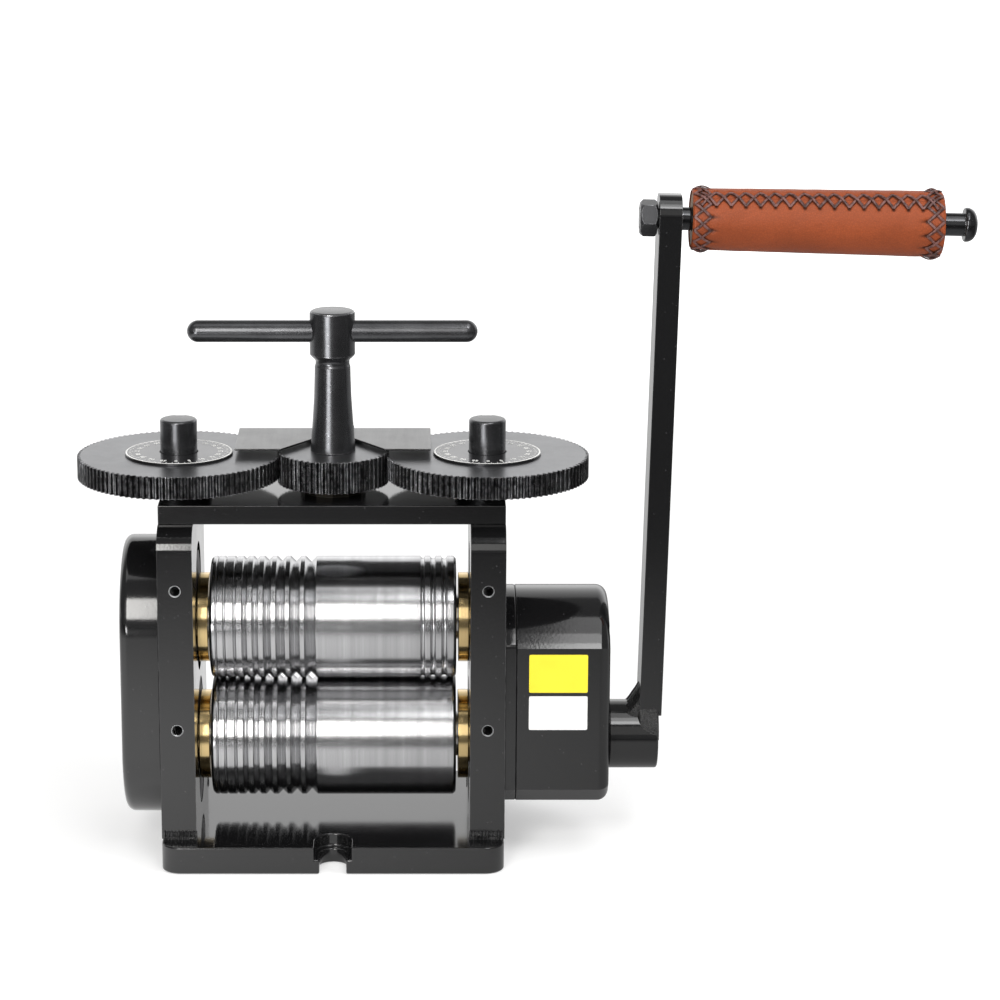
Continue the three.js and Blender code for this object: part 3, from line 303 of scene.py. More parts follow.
def plate(outline, low, high, holes=()):
    """A flat plate between two heights, drawn in (x, y), with round or shaped holes."""
    work = bmesh.new()
    edges = []
    for ring in [outline, *holes]:
        corners = [work.verts.new((x, y, low)) for x, y in ring]
        edges += [work.edges.new(pair) for pair in zip(corners, corners[1:] + corners[:1])]
    bmesh.ops.triangle_fill(work, use_beauty=True, edges=edges)
    bmesh.ops.dissolve_limit(work, angle_limit=0.001, verts=work.verts, edges=work.edges)
    extruded = bmesh.ops.extrude_face_region(work, geom=work.faces[:])
    raised = [v for v in extruded["geom"] if isinstance(v, bmesh.types.BMVert)]
    bmesh.ops.translate(work, verts=raised, vec=(0, 0, high - low))
    work.verts.index_update()
    result = [tuple(v.co) for v in work.verts], [[v.index for v in f.verts] for f in work.faces]
    work.free()
    return result


def arc(x, y, radius, start, end, steps):
    """Points along an arc, with the angles in degrees."""
    points = []
    for i in range(steps + 1):
        angle = math.radians(start + (end - start) * i / steps)
        points.append((x + radius * math.cos(angle), y + radius * math.sin(angle)))
    return points


def circle(x, y, radius, steps=48):
    return arc(x, y, radius, 0, 360, steps)[:-1]


def rounded_box(low_x, high_x, low_y, high_y, corner, steps):
    """The outline of a rectangle with round corners."""
    outline = []
    for i, (x, y) in enumerate(((high_x - corner, low_y + corner), (high_x - corner, high_y - corner),
                                (low_x + corner, high_y - corner), (low_x + corner, low_y + corner))):
        outline += arc(x, y, corner, 90 * i - 90, 90 * i, steps)
    return outline


def applied(piece):
    """Turns the piece with its modifiers into a plain mesh."""
    graph = bpy.context.evaluated_depsgraph_get()
    mesh = bpy.data.meshes.new_from_object(
        piece.evaluated_get(graph), preserve_all_data_layers=True, depsgraph=graph)
    piece.modifiers.clear()
    old = piece.data
    piece.data = mesh
    bpy.data.meshes.remove(old)
    return piece


def shaped(piece, cutters=(), edge=0.0, segments=3, angle=32):
    """Cuts the piece, rounds its edges and keeps the result as a plain mesh."""
    for cutter in cutters:
        cut = piece.modifiers.new("cut", "BOOLEAN")
        cut.object = cutter
        cut.operation = "DIFFERENCE"
        cut.solver = "EXACT"
    if edge:
        bevel = piece.modifiers.new("edges", "BEVEL")
        bevel.width = edge
        bevel.segments = segments
        bevel.limit_method = "ANGLE"
        bevel.angle_limit = math.radians(angle)
        bevel.use_clamp_overlap = True
    applied(piece)
    for cutter in cutters:
        bpy.data.objects.remove(cutter)
    smoothed(piece.data, angle + 8)
    return piece


def joined(name, pieces):
    """One object from several, which are removed."""
    work = bmesh.new()
    material = pieces[0].data.materials[0]
    for piece in pieces:
        work.from_mesh(piece.data)
    mesh = bpy.data.meshes.new(name)
    work.to_mesh(mesh)
    work.free()
    for piece in pieces:
        bpy.data.objects.remove(piece)
    mesh.materials.append(material)
    return linked(name, mesh)


def placed(piece, body, slot, *nodes):
    """Rides the piece on a body and hides the solids that it stands for. The slot is not used."""
    weigh = piece.modifiers.new("flats", "WEIGHTED_NORMAL")
    weigh.keep_sharp = True
    applied(piece)
    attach(piece, body)
    if nodes:
        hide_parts(*nodes)
    return piece


# Node trees


class Signal:
    """A node's output: a label picks another output, and arithmetic adds Math nodes."""

    def __init__(self, tree, source, key=0):
        self.tree, self.source, self.key = tree, source, key

    def __getitem__(self, key):
        return Signal(self.tree, self.source, key)

    def apply(self, operation, *others):
        return self.tree("Math", self, *others, operation=operation)

    def __add__(self, other):
        return self.apply("ADD", other)

    def __sub__(self, other):
        return self.apply("SUBTRACT", other)

    def __rsub__(self, other):
        return self.tree("Math", other, self, operation="SUBTRACT")

    def __mul__(self, other):
        return self.apply("MULTIPLY", other)

    def __truediv__(self, other):
        return self.apply("DIVIDE", other)

    def __mod__(self, other):
        return self.apply("FLOORED_MODULO", other)

    def __lt__(self, other):
        return self.apply("LESS_THAN", other)


class Tree:
    """A node tree. Calling it with the name of a kind of node adds that node."""

    def __init__(self, tree, shader=None):
        self.tree, self.shader = tree, shader

    def link(self, value, socket):
        """Links a signal to the socket, or sets it to a plain value."""
        if isinstance(value, Signal):
            self.tree.links.new(value.source.outputs[value.key], socket)
        elif socket.type == "RGBA":
            socket.default_value = (*value, 1.0)
        else:
            socket.default_value = value

    def __call__(self, kind, *values, **named):
        """Values fill the sockets in order. Capital words name sockets and small ones settings."""
        family = next(word for word in ("GeometryNode", "ShaderNode", "FunctionNode")
                      if hasattr(bpy.types, word + kind))
        made = self.tree.nodes.new(family + kind)
        sockets = dict(enumerate(values))
        for label, value in named.items():
            if label[0].isupper():
                sockets[label.replace("_", " ")] = value
            else:
                setattr(made, label, value)
        for key, value in sockets.items():
            self.link(value, made.inputs[key])
        return Signal(self, made)

    def join(self, *parts):
        """One geometry from several."""
        made = self.tree.nodes.new("GeometryNodeJoinGeometry")
        for part in parts:
            self.link(part, made.inputs[0])
        return Signal(self, made)

    def span(self, value, low, high, first=0.0, last=1.0, smooth=False):
        """The value moved from one range to another, and kept inside it."""
        way = "SMOOTHSTEP" if smooth else "LINEAR"
        return self("MapRange", value, low, high, first, last, interpolation_type=way)

    def mix(self, factor, first, second):
        """A colour between two."""
        made = self("Mix", factor, data_type="RGBA").source
        self.link(first, made.inputs[6])
        self.link(second, made.inputs[7])
        return Signal(self, made, 2)

    def effect(self, group, **inputs):
        """The outputs of a shared effect."""
        made = self.tree.nodes.new("ShaderNodeGroup")
        made.node_tree = bpy.data.node_groups[group]
        for label, value in inputs.items():
            made.inputs[label.replace("_", " ")].default_value = value
        return Signal(self, made)

    def coat(self, tone, roughness, height=None, strength=0.0, distance=0.0):
        """Links the shader's colour and roughness, and its relief where it has one."""
        self.link(tone, self.shader.inputs["Base Color"])
        self.link(roughness, self.shader.inputs["Roughness"])
        if height:
            relief = self("Bump", Height=height, Strength=strength, Distance=distance)
            self.link(relief, self.shader.inputs["Normal"])

    def end(self, *results):
        """Links the tree's outputs."""
        last = self.tree.nodes.new("NodeGroupOutput")
        for result, socket in zip(results, last.inputs):
            self.link(result, socket)
        return self.tree

    def grow(self, geometry, material):
        """Ends a geometry tree in real faces of one material."""
        real = self("RealizeInstances", Geometry=geometry)
        return self.end(self("SetMaterial", Geometry=real, Material=material))


SOCKETS = {int: "NodeSocketInt", float: "NodeSocketFloat", tuple: "NodeSocketVector",
           type(None): "NodeSocketMaterial"}


def new_tree(name, outputs=(), **inputs):
    """A tree and its inputs. With named outputs it is a shader's group, otherwise it makes geometry."""
    tree = bpy.data.node_groups.new(name, "ShaderNodeTree" if outputs else "GeometryNodeTree")
    add = tree.interface.new_socket
    if not outputs:
        for way in ("INPUT", "OUTPUT"):
            add("Geometry", in_out=way, socket_type="NodeSocketGeometry")
    for label, value in inputs.items():
        socket = add(label.replace("_", " "), in_out="INPUT", socket_type=SOCKETS[type(value)])
        if value is not None:
            socket.default_value = value
    for label in outputs:
        add(label, in_out="OUTPUT", socket_type="NodeSocketFloat")
    made = Tree(tree)
    return made, Signal(made, tree.nodes.new("NodeGroupInput"))


def grown(name, tree, finish, points=((0, 0, 0),), edges=(), crease=32, **values):
    """Runs a Geometry Nodes tree on a few points and returns the result as a plain piece."""
    mesh = bpy.data.meshes.new(name)
    mesh.from_pydata([Vector(point) * MM for point in points], edges, [])
    piece = linked(name, mesh)
    growth = piece.modifiers.new("growth", "NODES")
    growth.node_group = tree
    sockets = {item.name: item.identifier for item in tree.interface.items_tree
               if item.item_type == "SOCKET" and item.in_out == "INPUT"}
    growth[sockets["Material"]] = finish_of(finish)
    for label, value in values.items():
        growth[sockets[label.replace("_", " ")]] = value
    applied(piece)
    if not piece.data.polygons:
        raise RuntimeError(f"{name} grew no faces")
    smoothed(piece.data, crease)
    return piece


def polar(tree, radius, angle):
    """A flat position from a radius and an angle."""
    return tree("CombineXYZ", radius * angle.apply("COSINE"), radius * angle.apply("SINE"))


def toothed_disc_tree():
    """A disc with a bore and straight teeth: four rim points make one tooth."""
    tree, start = new_tree("Toothed disc", Teeth=100, Tip_radius=0.0314, Root_radius=0.0305,
                           Bore_radius=0.006, Thickness=0.007, Turn=0.0, Centre=(0, 0, 0), Material=None)
    count = start["Teeth"] * 4
    rim = tree("MeshCircle", Vertices=count, Radius=0.03)
    index = tree("InputIndex")
    raised = (index % 4 - 1.5).apply("ABSOLUTE") < 1.0
    radius = (start["Tip radius"] - start["Root radius"]) * raised + start["Root radius"]
    angle = (index - 1.5) / count * (2 * math.pi) + start["Turn"]
    rim = tree("SetPosition", Geometry=rim, Position=polar(tree, radius, angle))
    bore = tree("CurvePrimitiveCircle", Resolution=64, Radius=start["Bore radius"])
    face = tree("FillCurve", Curve=tree.join(tree("MeshToCurve", Mesh=rim), bore), mode="NGONS")
    top = tree("ExtrudeMesh", Mesh=face, Offset_Scale=start["Thickness"], Individual=False)
    both = tree.join(top, tree("FlipFaces", Mesh=face))
    whole = tree("MergeByDistance", Geometry=both, Distance=1e-6)
    return tree.grow(tree("Transform", Geometry=whole, Translation=start["Centre"]), start["Material"])


def cap_screw_tree():
    """A socket head on every point of the mesh."""
    tree, start = new_tree("Cap screws", Head_radius=0.00275, Head_height=0.0026, Socket_radius=0.0014,
                           Rotation=(0, 0, 0), Material=None)
    height = start["Head height"]
    head = tree("MeshCylinder", Vertices=28, Radius=start["Head radius"], Depth=height)
    head = tree("Transform", Geometry=head, Translation=tree("CombineXYZ", Z=height * -0.5))
    socket = tree("MeshCylinder", Vertices=6, Radius=start["Socket radius"], Depth=height)
    head = tree("MeshBoolean", Mesh_1=head, Mesh_2=socket, operation="DIFFERENCE")
    turn = tree("EulerToRotation", Euler=start["Rotation"])
    heads = tree("InstanceOnPoints", Points=start["Geometry"], Instance=head, Rotation=turn)
    return tree.grow(heads, start["Material"])


def scale_mark_tree():
    """Graduations round a dial's scale, each fifth one longer."""
    tree, start = new_tree("Scale marks", Count=50, Radius=0.0155, Length=0.001, Width=0.00018,
                           Height=0.0001, Material=None)
    index = tree("InputIndex")
    angle = index * (2 * math.pi) / start["Count"]
    size = tree("CombineXYZ", start["Length"], start["Width"], start["Height"])
    stretch = (index % 5 < 0.5) * 0.8 + 1.0
    radius = start["Radius"] - start["Length"] * stretch * 0.5
    points = tree("Points", Count=start["Count"])
    points = tree("SetPosition", Geometry=points, Position=polar(tree, radius, angle))
    turn = tree("EulerToRotation", Euler=tree("CombineXYZ", Z=angle))
    marks = tree("InstanceOnPoints", Points=points, Instance=tree("MeshCube", Size=size), Rotation=turn,
                 Scale=tree("CombineXYZ", stretch, 1.0, 1.0))
    offset = tree("SampleIndex", Geometry=start["Geometry"], Value=tree("InputPosition"), Index=0,
                  data_type="FLOAT_VECTOR", domain="POINT")
    marks = tree("TranslateInstances", Instances=marks, Translation=offset, Local_Space=False)
    return tree.grow(marks, start["Material"])


def lacing_tree():
    """Crossed laces drawn flat in (x, arc length, height) and wrapped round a cylinder along X."""
    tree, start = new_tree("Lacing", Crosses=16, Origin=(0, 0, 0), Step=(0.0046, 0, 0),
                           Across=(0, 0.0035, 0), Lace_width=0.001, Lace_height=0.00035, Bulge=0.0004,
                           Radius=0.0098, Material=None)
    step, across = start["Step"], start["Across"]
    width, height = start["Lace width"], start["Lace height"]
    along = tree("VectorMath", step, Scale=tree("InputIndex"), operation="SCALE")
    spot = tree("VectorMath", start["Origin"], along, operation="ADD")
    points = tree("Points", Count=start["Crosses"], Position=spot)
    far = tree("VectorMath", step, across, operation="ADD")
    swell = (tree("SplineParameter")["Factor"] * math.pi).apply("SINE")
    profile = tree("CurvePrimitiveCircle", Resolution=8, Radius=width * 0.5)
    squash = tree("CombineXYZ", 1.0, height / width, 1.0)
    profile = tree("Transform", Geometry=profile, Scale=squash)
    laces = []
    for lift, first, last in ((0.0, (0, 0, 0), far), (1.0, across, step)):
        line = tree("CurvePrimitiveLine", Start=first, End=last)
        line = tree("ResampleCurve", Curve=line, Count=9)
        rise = swell * start["Bulge"] + height * lift * swell
        line = tree("SetPosition", Geometry=line, Offset=tree("CombineXYZ", Z=rise))
        line = tree("SetCurveNormal", Curve=line, mode="Z_UP")
        laces.append(tree("CurveToMesh", Curve=line, Profile_Curve=profile, Fill_Caps=True))
    laces = tree("InstanceOnPoints", Points=points, Instance=tree.join(*laces))
    laces = tree("RealizeInstances", Geometry=laces)
    here = tree("SeparateXYZ", tree("InputPosition"))
    angle = here["Y"] / start["Radius"]
    radius = start["Radius"] + here["Z"]
    wrapped = tree("CombineXYZ", here["X"], radius * angle.apply("COSINE") * -1, radius * angle.apply("SINE"))
    laces = tree("SetPosition", Geometry=laces, Position=wrapped)
    return tree.grow(laces, start["Material"])


def weld_bead_tree():
    """A rippled bead along the edges of the mesh."""
    tree, start = new_tree("Weld bead", Width=0.0026, Ripple=0.22, Pitch=0.0011, Wander=0.0005, Seed=3.0,
                           Material=None)
    path = tree("MeshToCurve", Mesh=start["Geometry"])
    path = tree("ResampleCurve", Curve=path, Length=0.00028, mode="LENGTH")
    wave = (tree("SplineParameter")["Length"] / start["Pitch"] * (2 * math.pi)).apply("SINE")
    blot = tree("TexNoise", Vector=tree("InputPosition"), W=start["Seed"], Scale=420.0, Detail=3.0,
                noise_dimensions="4D")
    drift = tree("VectorMath", blot["Color"], (0.5, 0.5, 0.5), operation="SUBTRACT")
    drift = tree("VectorMath", drift, Scale=start["Wander"], operation="SCALE")
    path = tree("SetPosition", Geometry=path, Offset=drift)
    swell = (wave * start["Ripple"] + 0.8) * (blot + 0.5)
    profile = tree("CurvePrimitiveCircle", Resolution=12, Radius=0.5)
    bead = tree("CurveToMesh", Curve=path, Profile_Curve=profile, Fill_Caps=True,
                Scale=swell * start["Width"])
    return tree.grow(bead, start["Material"])


# Effects that several materials share


def edge_wear_and_highlight_group():
    """Where an edge is rubbed bright, partly as wear and partly as a painted edge highlight: the turn of the
    surface within a radius, broken by noise.
    """
    tree, start = new_tree("Edge wear and highlight", ["Mask"], Radius=0.0004, Reach=6.0, Breaks=260.0, Amount=0.5)
    soft = tree("Bevel", Radius=start["Radius"], samples=4)
    match = tree("VectorMath", soft, tree("NewGeometry")["Normal"], operation="DOT_PRODUCT")["Value"]
    blot = tree("TexNoise", Vector=tree("TexCoord")["Object"], Scale=start["Breaks"], Detail=5.0,
                Roughness=0.65)
    mask = (1.0 - match) * start["Reach"] * tree.span(blot, 0.38, 0.62) * start["Amount"]
    tree.end(tree("Clamp", mask))


def fine_lines_group():
    """Fine tool or grinding lines: noise squeezed along one axis and drawn out along the others."""
    tree, start = new_tree("Fine lines", ["Lines", "Streaks"], Stretch=(3000, 20, 20), Detail=4.0)
    drawn = tree("VectorMath", tree("TexCoord")["Object"], start["Stretch"], operation="MULTIPLY")
    tree.end(tree("TexNoise", Vector=drawn, Scale=1.0, Detail=start["Detail"], Roughness=0.7),
             tree("TexNoise", Vector=drawn, Scale=0.11, Detail=2.0, Roughness=0.5))


def smudge_group():
    """Soft uneven patches and small specks, as of handling and dust."""
    tree, start = new_tree("Smudges", ["Patches", "Specks", "Peel"], Patch_scale=40.0, Speck_scale=1400.0,
                           Speck_share=0.12)
    place = tree("TexCoord")["Object"]
    patch = tree("TexNoise", Vector=place, Scale=start["Patch scale"], Detail=6.0, Roughness=0.6)
    cells = tree("TexVoronoi", Vector=place, Scale=start["Speck scale"])
    near = cells["Distance"] < 0.2
    rare = tree("SeparateColor", cells["Color"]) < start["Speck share"]
    peel = tree("TexNoise", Vector=place, Scale=1300.0, Detail=3.0)
    tree.end(tree.span(patch, 0.35, 0.65), near * rare, peel)


# Materials


def shade(base, factor, plus=0.0):
    """The colour made darker or lighter."""
    return [min(1.0, level * factor + plus) for level in base]


def principled(name, **constants):
    """A new material's tree, with the plain values of its shader set on the sockets."""
    material = bpy.data.materials.new(name)
    material.use_nodes = True
    shader = material.node_tree.nodes["Principled BSDF"]
    for label, value in constants.items():
        shader.inputs[label.replace("_", " ")].default_value = value
    return Tree(material.node_tree, shader)


def paint_material(base, name, patches, rough, relief, strength, distance):
    """Gloss black paint, raised by one of the smudge effect's outputs."""
    tree = principled(name, Specular_IOR_Level=0.78)
    wear = tree.effect("Edge wear and highlight", Radius=0.0005, Reach=5.0, Breaks=210.0, Amount=0.3)
    dust = tree.effect("Smudges", Patch_scale=patches, Speck_scale=900.0, Speck_share=0.05)
    dusty = tree.mix(dust["Specks"], base, shade(base, 3.2, 0.012))
    # Edges are lightened to grey, partly as worn paint and partly as a painted edge highlight
    tree.coat(tree.mix(wear, dusty, (0.16, 0.16, 0.165)), tree.span(dust["Patches"], 0, 1, *rough),
              dust[relief], strength, distance)


def blackened(base, name, flat, rough, lines, wear_and_highlight_reach):
    """Blackened steel. Faces that point up take a tone scaled by flat, a painted sheen where flat lightens
    them and painted shade where it darkens them, and edges are rubbed bright, partly as wear and partly as a
    painted edge highlight.
    """
    tree = principled(name, Metallic=0.9, Specular_IOR_Level=0.5)
    wear = tree.effect("Edge wear and highlight", Radius=0.0003, Reach=wear_and_highlight_reach, Breaks=480.0, Amount=0.9)
    dust = tree.effect("Smudges", Patch_scale=70.0, Speck_scale=1700.0, Speck_share=0.07)
    marks = tree.effect("Fine lines", Stretch=lines)
    patchy = tree.mix(dust["Patches"], shade(base, 0.8), shade(base, 1.25))
    # Faces that point up take a tone scaled by flat: painted sheen of the light above where it lightens them,
    # painted shade where it darkens them
    up = tree.span(tree("SeparateXYZ", tree("NewGeometry")["Normal"])["Z"], 0.9, 0.98)
    painted_top_light = tree.mix(dust["Patches"], shade(base, flat * 0.88), shade(base, flat * 1.12))
    dusty = tree.mix(dust["Specks"], tree.mix(up, patchy, painted_top_light), (0.22, 0.22, 0.23))
    # Edges are lightened, partly as wear and partly as a painted edge highlight
    tree.coat(tree.mix(wear, dusty, (0.7, 0.7, 0.72)), tree.span(marks["Lines"], 0, 1, *rough),
              marks["Lines"] + dust["Peel"], 0.3, 0.00002)


def roll_material(base):
    """Ground steel, whose lines round the roll draw its reflections out along the axis."""
    tree = principled("ground_roll_steel", Metallic=1.0, Anisotropic=0.5, Anisotropic_Rotation=0.25)
    lines = tree.effect("Fine lines", Stretch=(3600.0, 6.0, 6.0), Detail=5.0)
    tone = tree.mix(tree.span(lines["Streaks"], 0.35, 0.65), shade(base, 0.8), base)
    tone = tree.mix(tree.span(lines["Lines"], 0, 1, 0.5, 0.0), tone, shade(base, 0.5))
    tree.coat(tone, tree.span(lines["Lines"], 0, 1, 0.25, 0.18), lines["Lines"], 0.35, 0.00005)
    tree.link(tree("Tangent", direction_type="RADIAL", axis="X"), tree.shader.inputs["Tangent"])


def plain_metal(base, name, low, high, stretch, metallic=1.0):
    """Machined metal with fine lines."""
    tree = principled(name, Metallic=metallic)
    lines = tree.effect("Fine lines", Stretch=stretch)
    wear = tree.effect("Edge wear and highlight", Radius=0.0003, Reach=6.0, Breaks=400.0, Amount=0.5)
    tone = tree.mix(lines["Streaks"], shade(base, 0.82), base)
    # Edges are lightened, partly as wear and partly as a painted edge highlight
    tree.coat(tree.mix(wear, tone, shade(base, 1.4, 0.05)), tree.span(lines["Lines"], 0, 1, low, high),
              lines["Lines"], 0.1, 0.00008)


def leather_material(base):
    """Tan leather: fine pebbled grain and uneven dye, darkened by the stitch_shade attribute along the seam
    and as painted shade beside the laces and in the stitch holes.
    """
    tree = principled("tan_leather", Specular_IOR_Level=0.3)
    place = tree("TexCoord")["Object"]
    cells = tree("TexVoronoi", Vector=place, Scale=1500.0, feature="DISTANCE_TO_EDGE")
    pores = tree.span(cells["Distance"], 0.0, 0.2)
    dye = tree("TexNoise", Vector=place, Scale=75.0, Detail=6.0, Roughness=0.6)
    fine = tree("TexNoise", Vector=place, Scale=900.0, Detail=3.0)
    painted_stitch_shade = tree("Attribute", attribute_name="stitch_shade")["Fac"]
    tone = tree.mix(tree.span(dye, 0.36, 0.64), shade(base, 0.9), shade(base, 1.07))
    tone = tree.mix(tree.span(pores, 0, 1, 0.3, 0.0), tone, shade(base, 0.42))
    # The stitch_shade attribute darkens the seam line and paints shade beside the laces, in the stitch holes
    # and in the puckers
    tone = tree.mix(painted_stitch_shade, tone, shade(base, 0.16))
    tree.coat(tone, tree.span(dye, 0, 1, 0.44, 0.56), fine * 0.5 + pores, 0.22, 0.00012)


def lace_material(base):
    tree = principled("flat_lace", Specular_IOR_Level=0.5)
    blot = tree("TexNoise", Vector=tree("TexCoord")["Object"], Scale=700.0, Detail=4.0)
    tone = tree.mix(tree.span(blot, 0.4, 0.6), shade(base, 0.5), shade(base, 1.5))
    tree.coat(tone, tree.span(blot, 0, 1, 0.32, 0.55), blot, 0.3, 0.0002)


def wood_material():
    tree = principled("turned_hardwood", Specular_IOR_Level=0.4)
    grain = tree.effect("Fine lines", Stretch=(25.0, 700.0, 700.0))["Lines"]
    tree.coat(tree.mix(grain, (0.2, 0.11, 0.06), (0.4, 0.25, 0.14)), tree.span(grain, 0, 1, 0.45, 0.65))


def flat_finish(base, name, rough, metallic=0.0):
    """A plain printed or coated surface with a little unevenness."""
    tree = principled(name, Metallic=metallic)
    dust = tree.effect("Smudges", Patch_scale=90.0, Speck_scale=2200.0, Speck_share=0.05)
    tree.coat(tree.mix(dust["Patches"], shade(base, 0.93), base),
              tree.span(dust["Patches"], 0, 1, rough, rough + 0.08), dust["Peel"], 0.2, 0.00002)


class MILL_OT_finishes(bpy.types.Operator):
    """Make the materials and give every solid that stays visible its own"""

    bl_idname = "mill.finishes"
    bl_label = "Finishes"

    def execute(self, context):
        colours = context.scene.mill_colours
        paint, black = colours.paint, colours.blackened
        edge_wear_and_highlight_group()
        fine_lines_group()
        smudge_group()
        paint_material(paint, "gloss_black_paint", 34.0, (0.07, 0.13), "Peel", 0.4, 0.00002)
        paint_material(paint, "painted_weld", 1500.0, (0.24, 0.42), "Patches", 0.7, 0.00025)
        # The flat factor paints light on faces that point up: darker tops on blackened_steel, much lighter
        # tops on the dial and the index plate. The dial's very dark base is painted shade in its tooth gaps,
        # and the index plate's dark base is painted shadow on its edges.
        blackened(shade(black, 1.2), "blackened_steel", 0.48, (0.2, 0.3), (60.0, 60.0, 1500.0), 14.0)
        blackened(shade(black, 0.18), "blackened_dial", 9.6, (0.26, 0.34), (300.0, 300.0, 60.0), 8.0)
        blackened((0.05, 0.05, 0.05), "index_steel", 4.2, (0.3, 0.42), (700.0, 60.0, 60.0), 3.0)
        blackened(shade(black, 0.7), "polished_bolt", 1.0, (0.1, 0.16), (900.0, 60.0, 60.0), 8.0)
        roll_material(colours.roll)
        leather_material(colours.leather)
        lace_material(colours.lace)
        wood_material()
        plain_metal(colours.brass, "turned_brass", 0.12, 0.19, (2200.0, 14.0, 14.0))
        plain_metal((0.5, 0.505, 0.515), "machined_steel", 0.28, 0.42, (1400.0, 90.0, 90.0))
        plain_metal((0.2, 0.2, 0.205), "machined_iron", 0.42, 0.6, (300.0, 300.0, 900.0), 0.85)
        # Near-black bronze: the bush under the pinion is darkened as painted shadow
        plain_metal((0.03, 0.026, 0.02), "shadow_dark_bronze", 0.35, 0.5, (700.0, 60.0, 60.0), 0.8)
        flat_finish((0.051, 0.051, 0.054), "scale_black", 0.12, 0.75)
        flat_finish((0.78, 0.78, 0.76), "scale_white", 0.45)
        flat_finish((0.8, 0.8, 0.79), "sticker_white", 0.4)
        flat_finish((0.86, 0.72, 0.03), "sticker_yellow", 0.38)
        slots = {
            "black_paint": "gloss_black_paint", "black_steel": "blackened_steel",
            "roll_steel": "ground_roll_steel", "gear_steel": "machined_steel",
            "spring_steel": "machined_steel", "block_iron": "machined_iron",
            "bush_brass": "turned_brass", "scale_plate": "scale_black",
            "grip_wood": "turned_hardwood", "grip_hide": "tan_leather",
        }
        for row in frame["record"]["subparts"]:
            solid = frame["nodes"][row["node"]]
            finish = finish_of(slots[row["material_slot"]])
            # The pinion's bush takes the near-black bronze, as painted shadow under the pinion
            if row["node"] == "pinion_bush":
                finish = finish_of("shadow_dark_bronze")
            for place in solid.material_slots:
                place.material = finish
            if not solid.material_slots:
                solid.data.materials.append(finish)
        return {"FINISHED"}


class MILL_OT_base(bpy.types.Operator):
    """Build the base plate with its bolt slots and sunk seats"""

    bl_idname = "mill.base"
    bl_label = "Base plate"

    def execute(self, context):
        half, front = PLATE_OUTER - 0.2, -BASE_HALF_DEPTH
        outline = rounded_box(-half, half, front, -front, BASE_CORNER, 10)
        base = mesh_object("base", plate(outline, 0, BASE_TOP), "gloss_black_paint")
        cutters = []
        for width, reach, low in ((8.3, 10.5, -2.0), (11.5, 13.0, 4.5)):
            radius = width / 2
            slot = plate([(-radius, front - 3), (radius, front - 3),
                          *arc(0, front + reach - radius, radius, 0, 180, 20)], low, BASE_TOP + 3)
            cutters += [mesh_object("slot", slot, "gloss_black_paint", Matrix.Rotation(turn, 4, "Z"))
                        for turn in (0, math.pi)]
        shaped(base, cutters, context.scene.mill_sizes.edge_rounding)
        placed(base, "frame", "black_paint", "base_plate")
        return {"FINISHED"}


class MILL_OT_columns(bpy.types.Operator):
    """Build the two side plates with their windows, shoulders and tapped holes"""

    bl_idname = "mill.columns"
    bl_label = "Side plates"

    def execute(self, context):
        half, radius = PLATE_HALF_DEPTH, WINDOW_RADIUS
        arc_y, arc_z = half - SHOULDER, PLATE_TOP - SHOULDER
        outline = [(-half, BASE_TOP), (half, BASE_TOP), *arc(arc_y, arc_z, SHOULDER, 0, 90, 16),
                   *arc(-arc_y, arc_z, SHOULDER, 90, 180, 16)]
        windows = [arc(0, high - radius, radius, 0, 180, 20) + arc(0, low + radius, radius, 180, 360, 20)
                   for low, high in WINDOWS]
        hole = turned([(0, -3), (1.8, -3), (1.8, 0.001), (1.5, 0.3), (1.5, 8), (0, 8)], 32)
        ring = turned([(1.84, -0.03), (1.6, 0.22), (1.52, 0.22), (1.74, -0.03), (1.84, -0.03)], 32)
        rims = []
        for side, sign in SIDES:
            low, high = sorted((sign * PLATE_INNER, sign * PLATE_OUTER))
            column = mesh_object(f"column_{side}", plate(outline, low, high, windows),
                                 "gloss_black_paint", CYCLE)
            spots = [at(sign * DIAL_X, -half, z) @ ALONG_Y for z in TAPPED_HEIGHTS]
            holes = [mesh_object("hole", hole, "gloss_black_paint", spot) for spot in spots]
            rims += [mesh_object("rim", ring, "machined_steel", spot) for spot in spots]
            shaped(column, holes, context.scene.mill_sizes.edge_rounding)
            placed(column, "frame", "black_paint", f"{side}_side_plate")
        placed(joined("tapped_hole_rims", rims), "frame", "gear_steel")
        return {"FINISHED"}


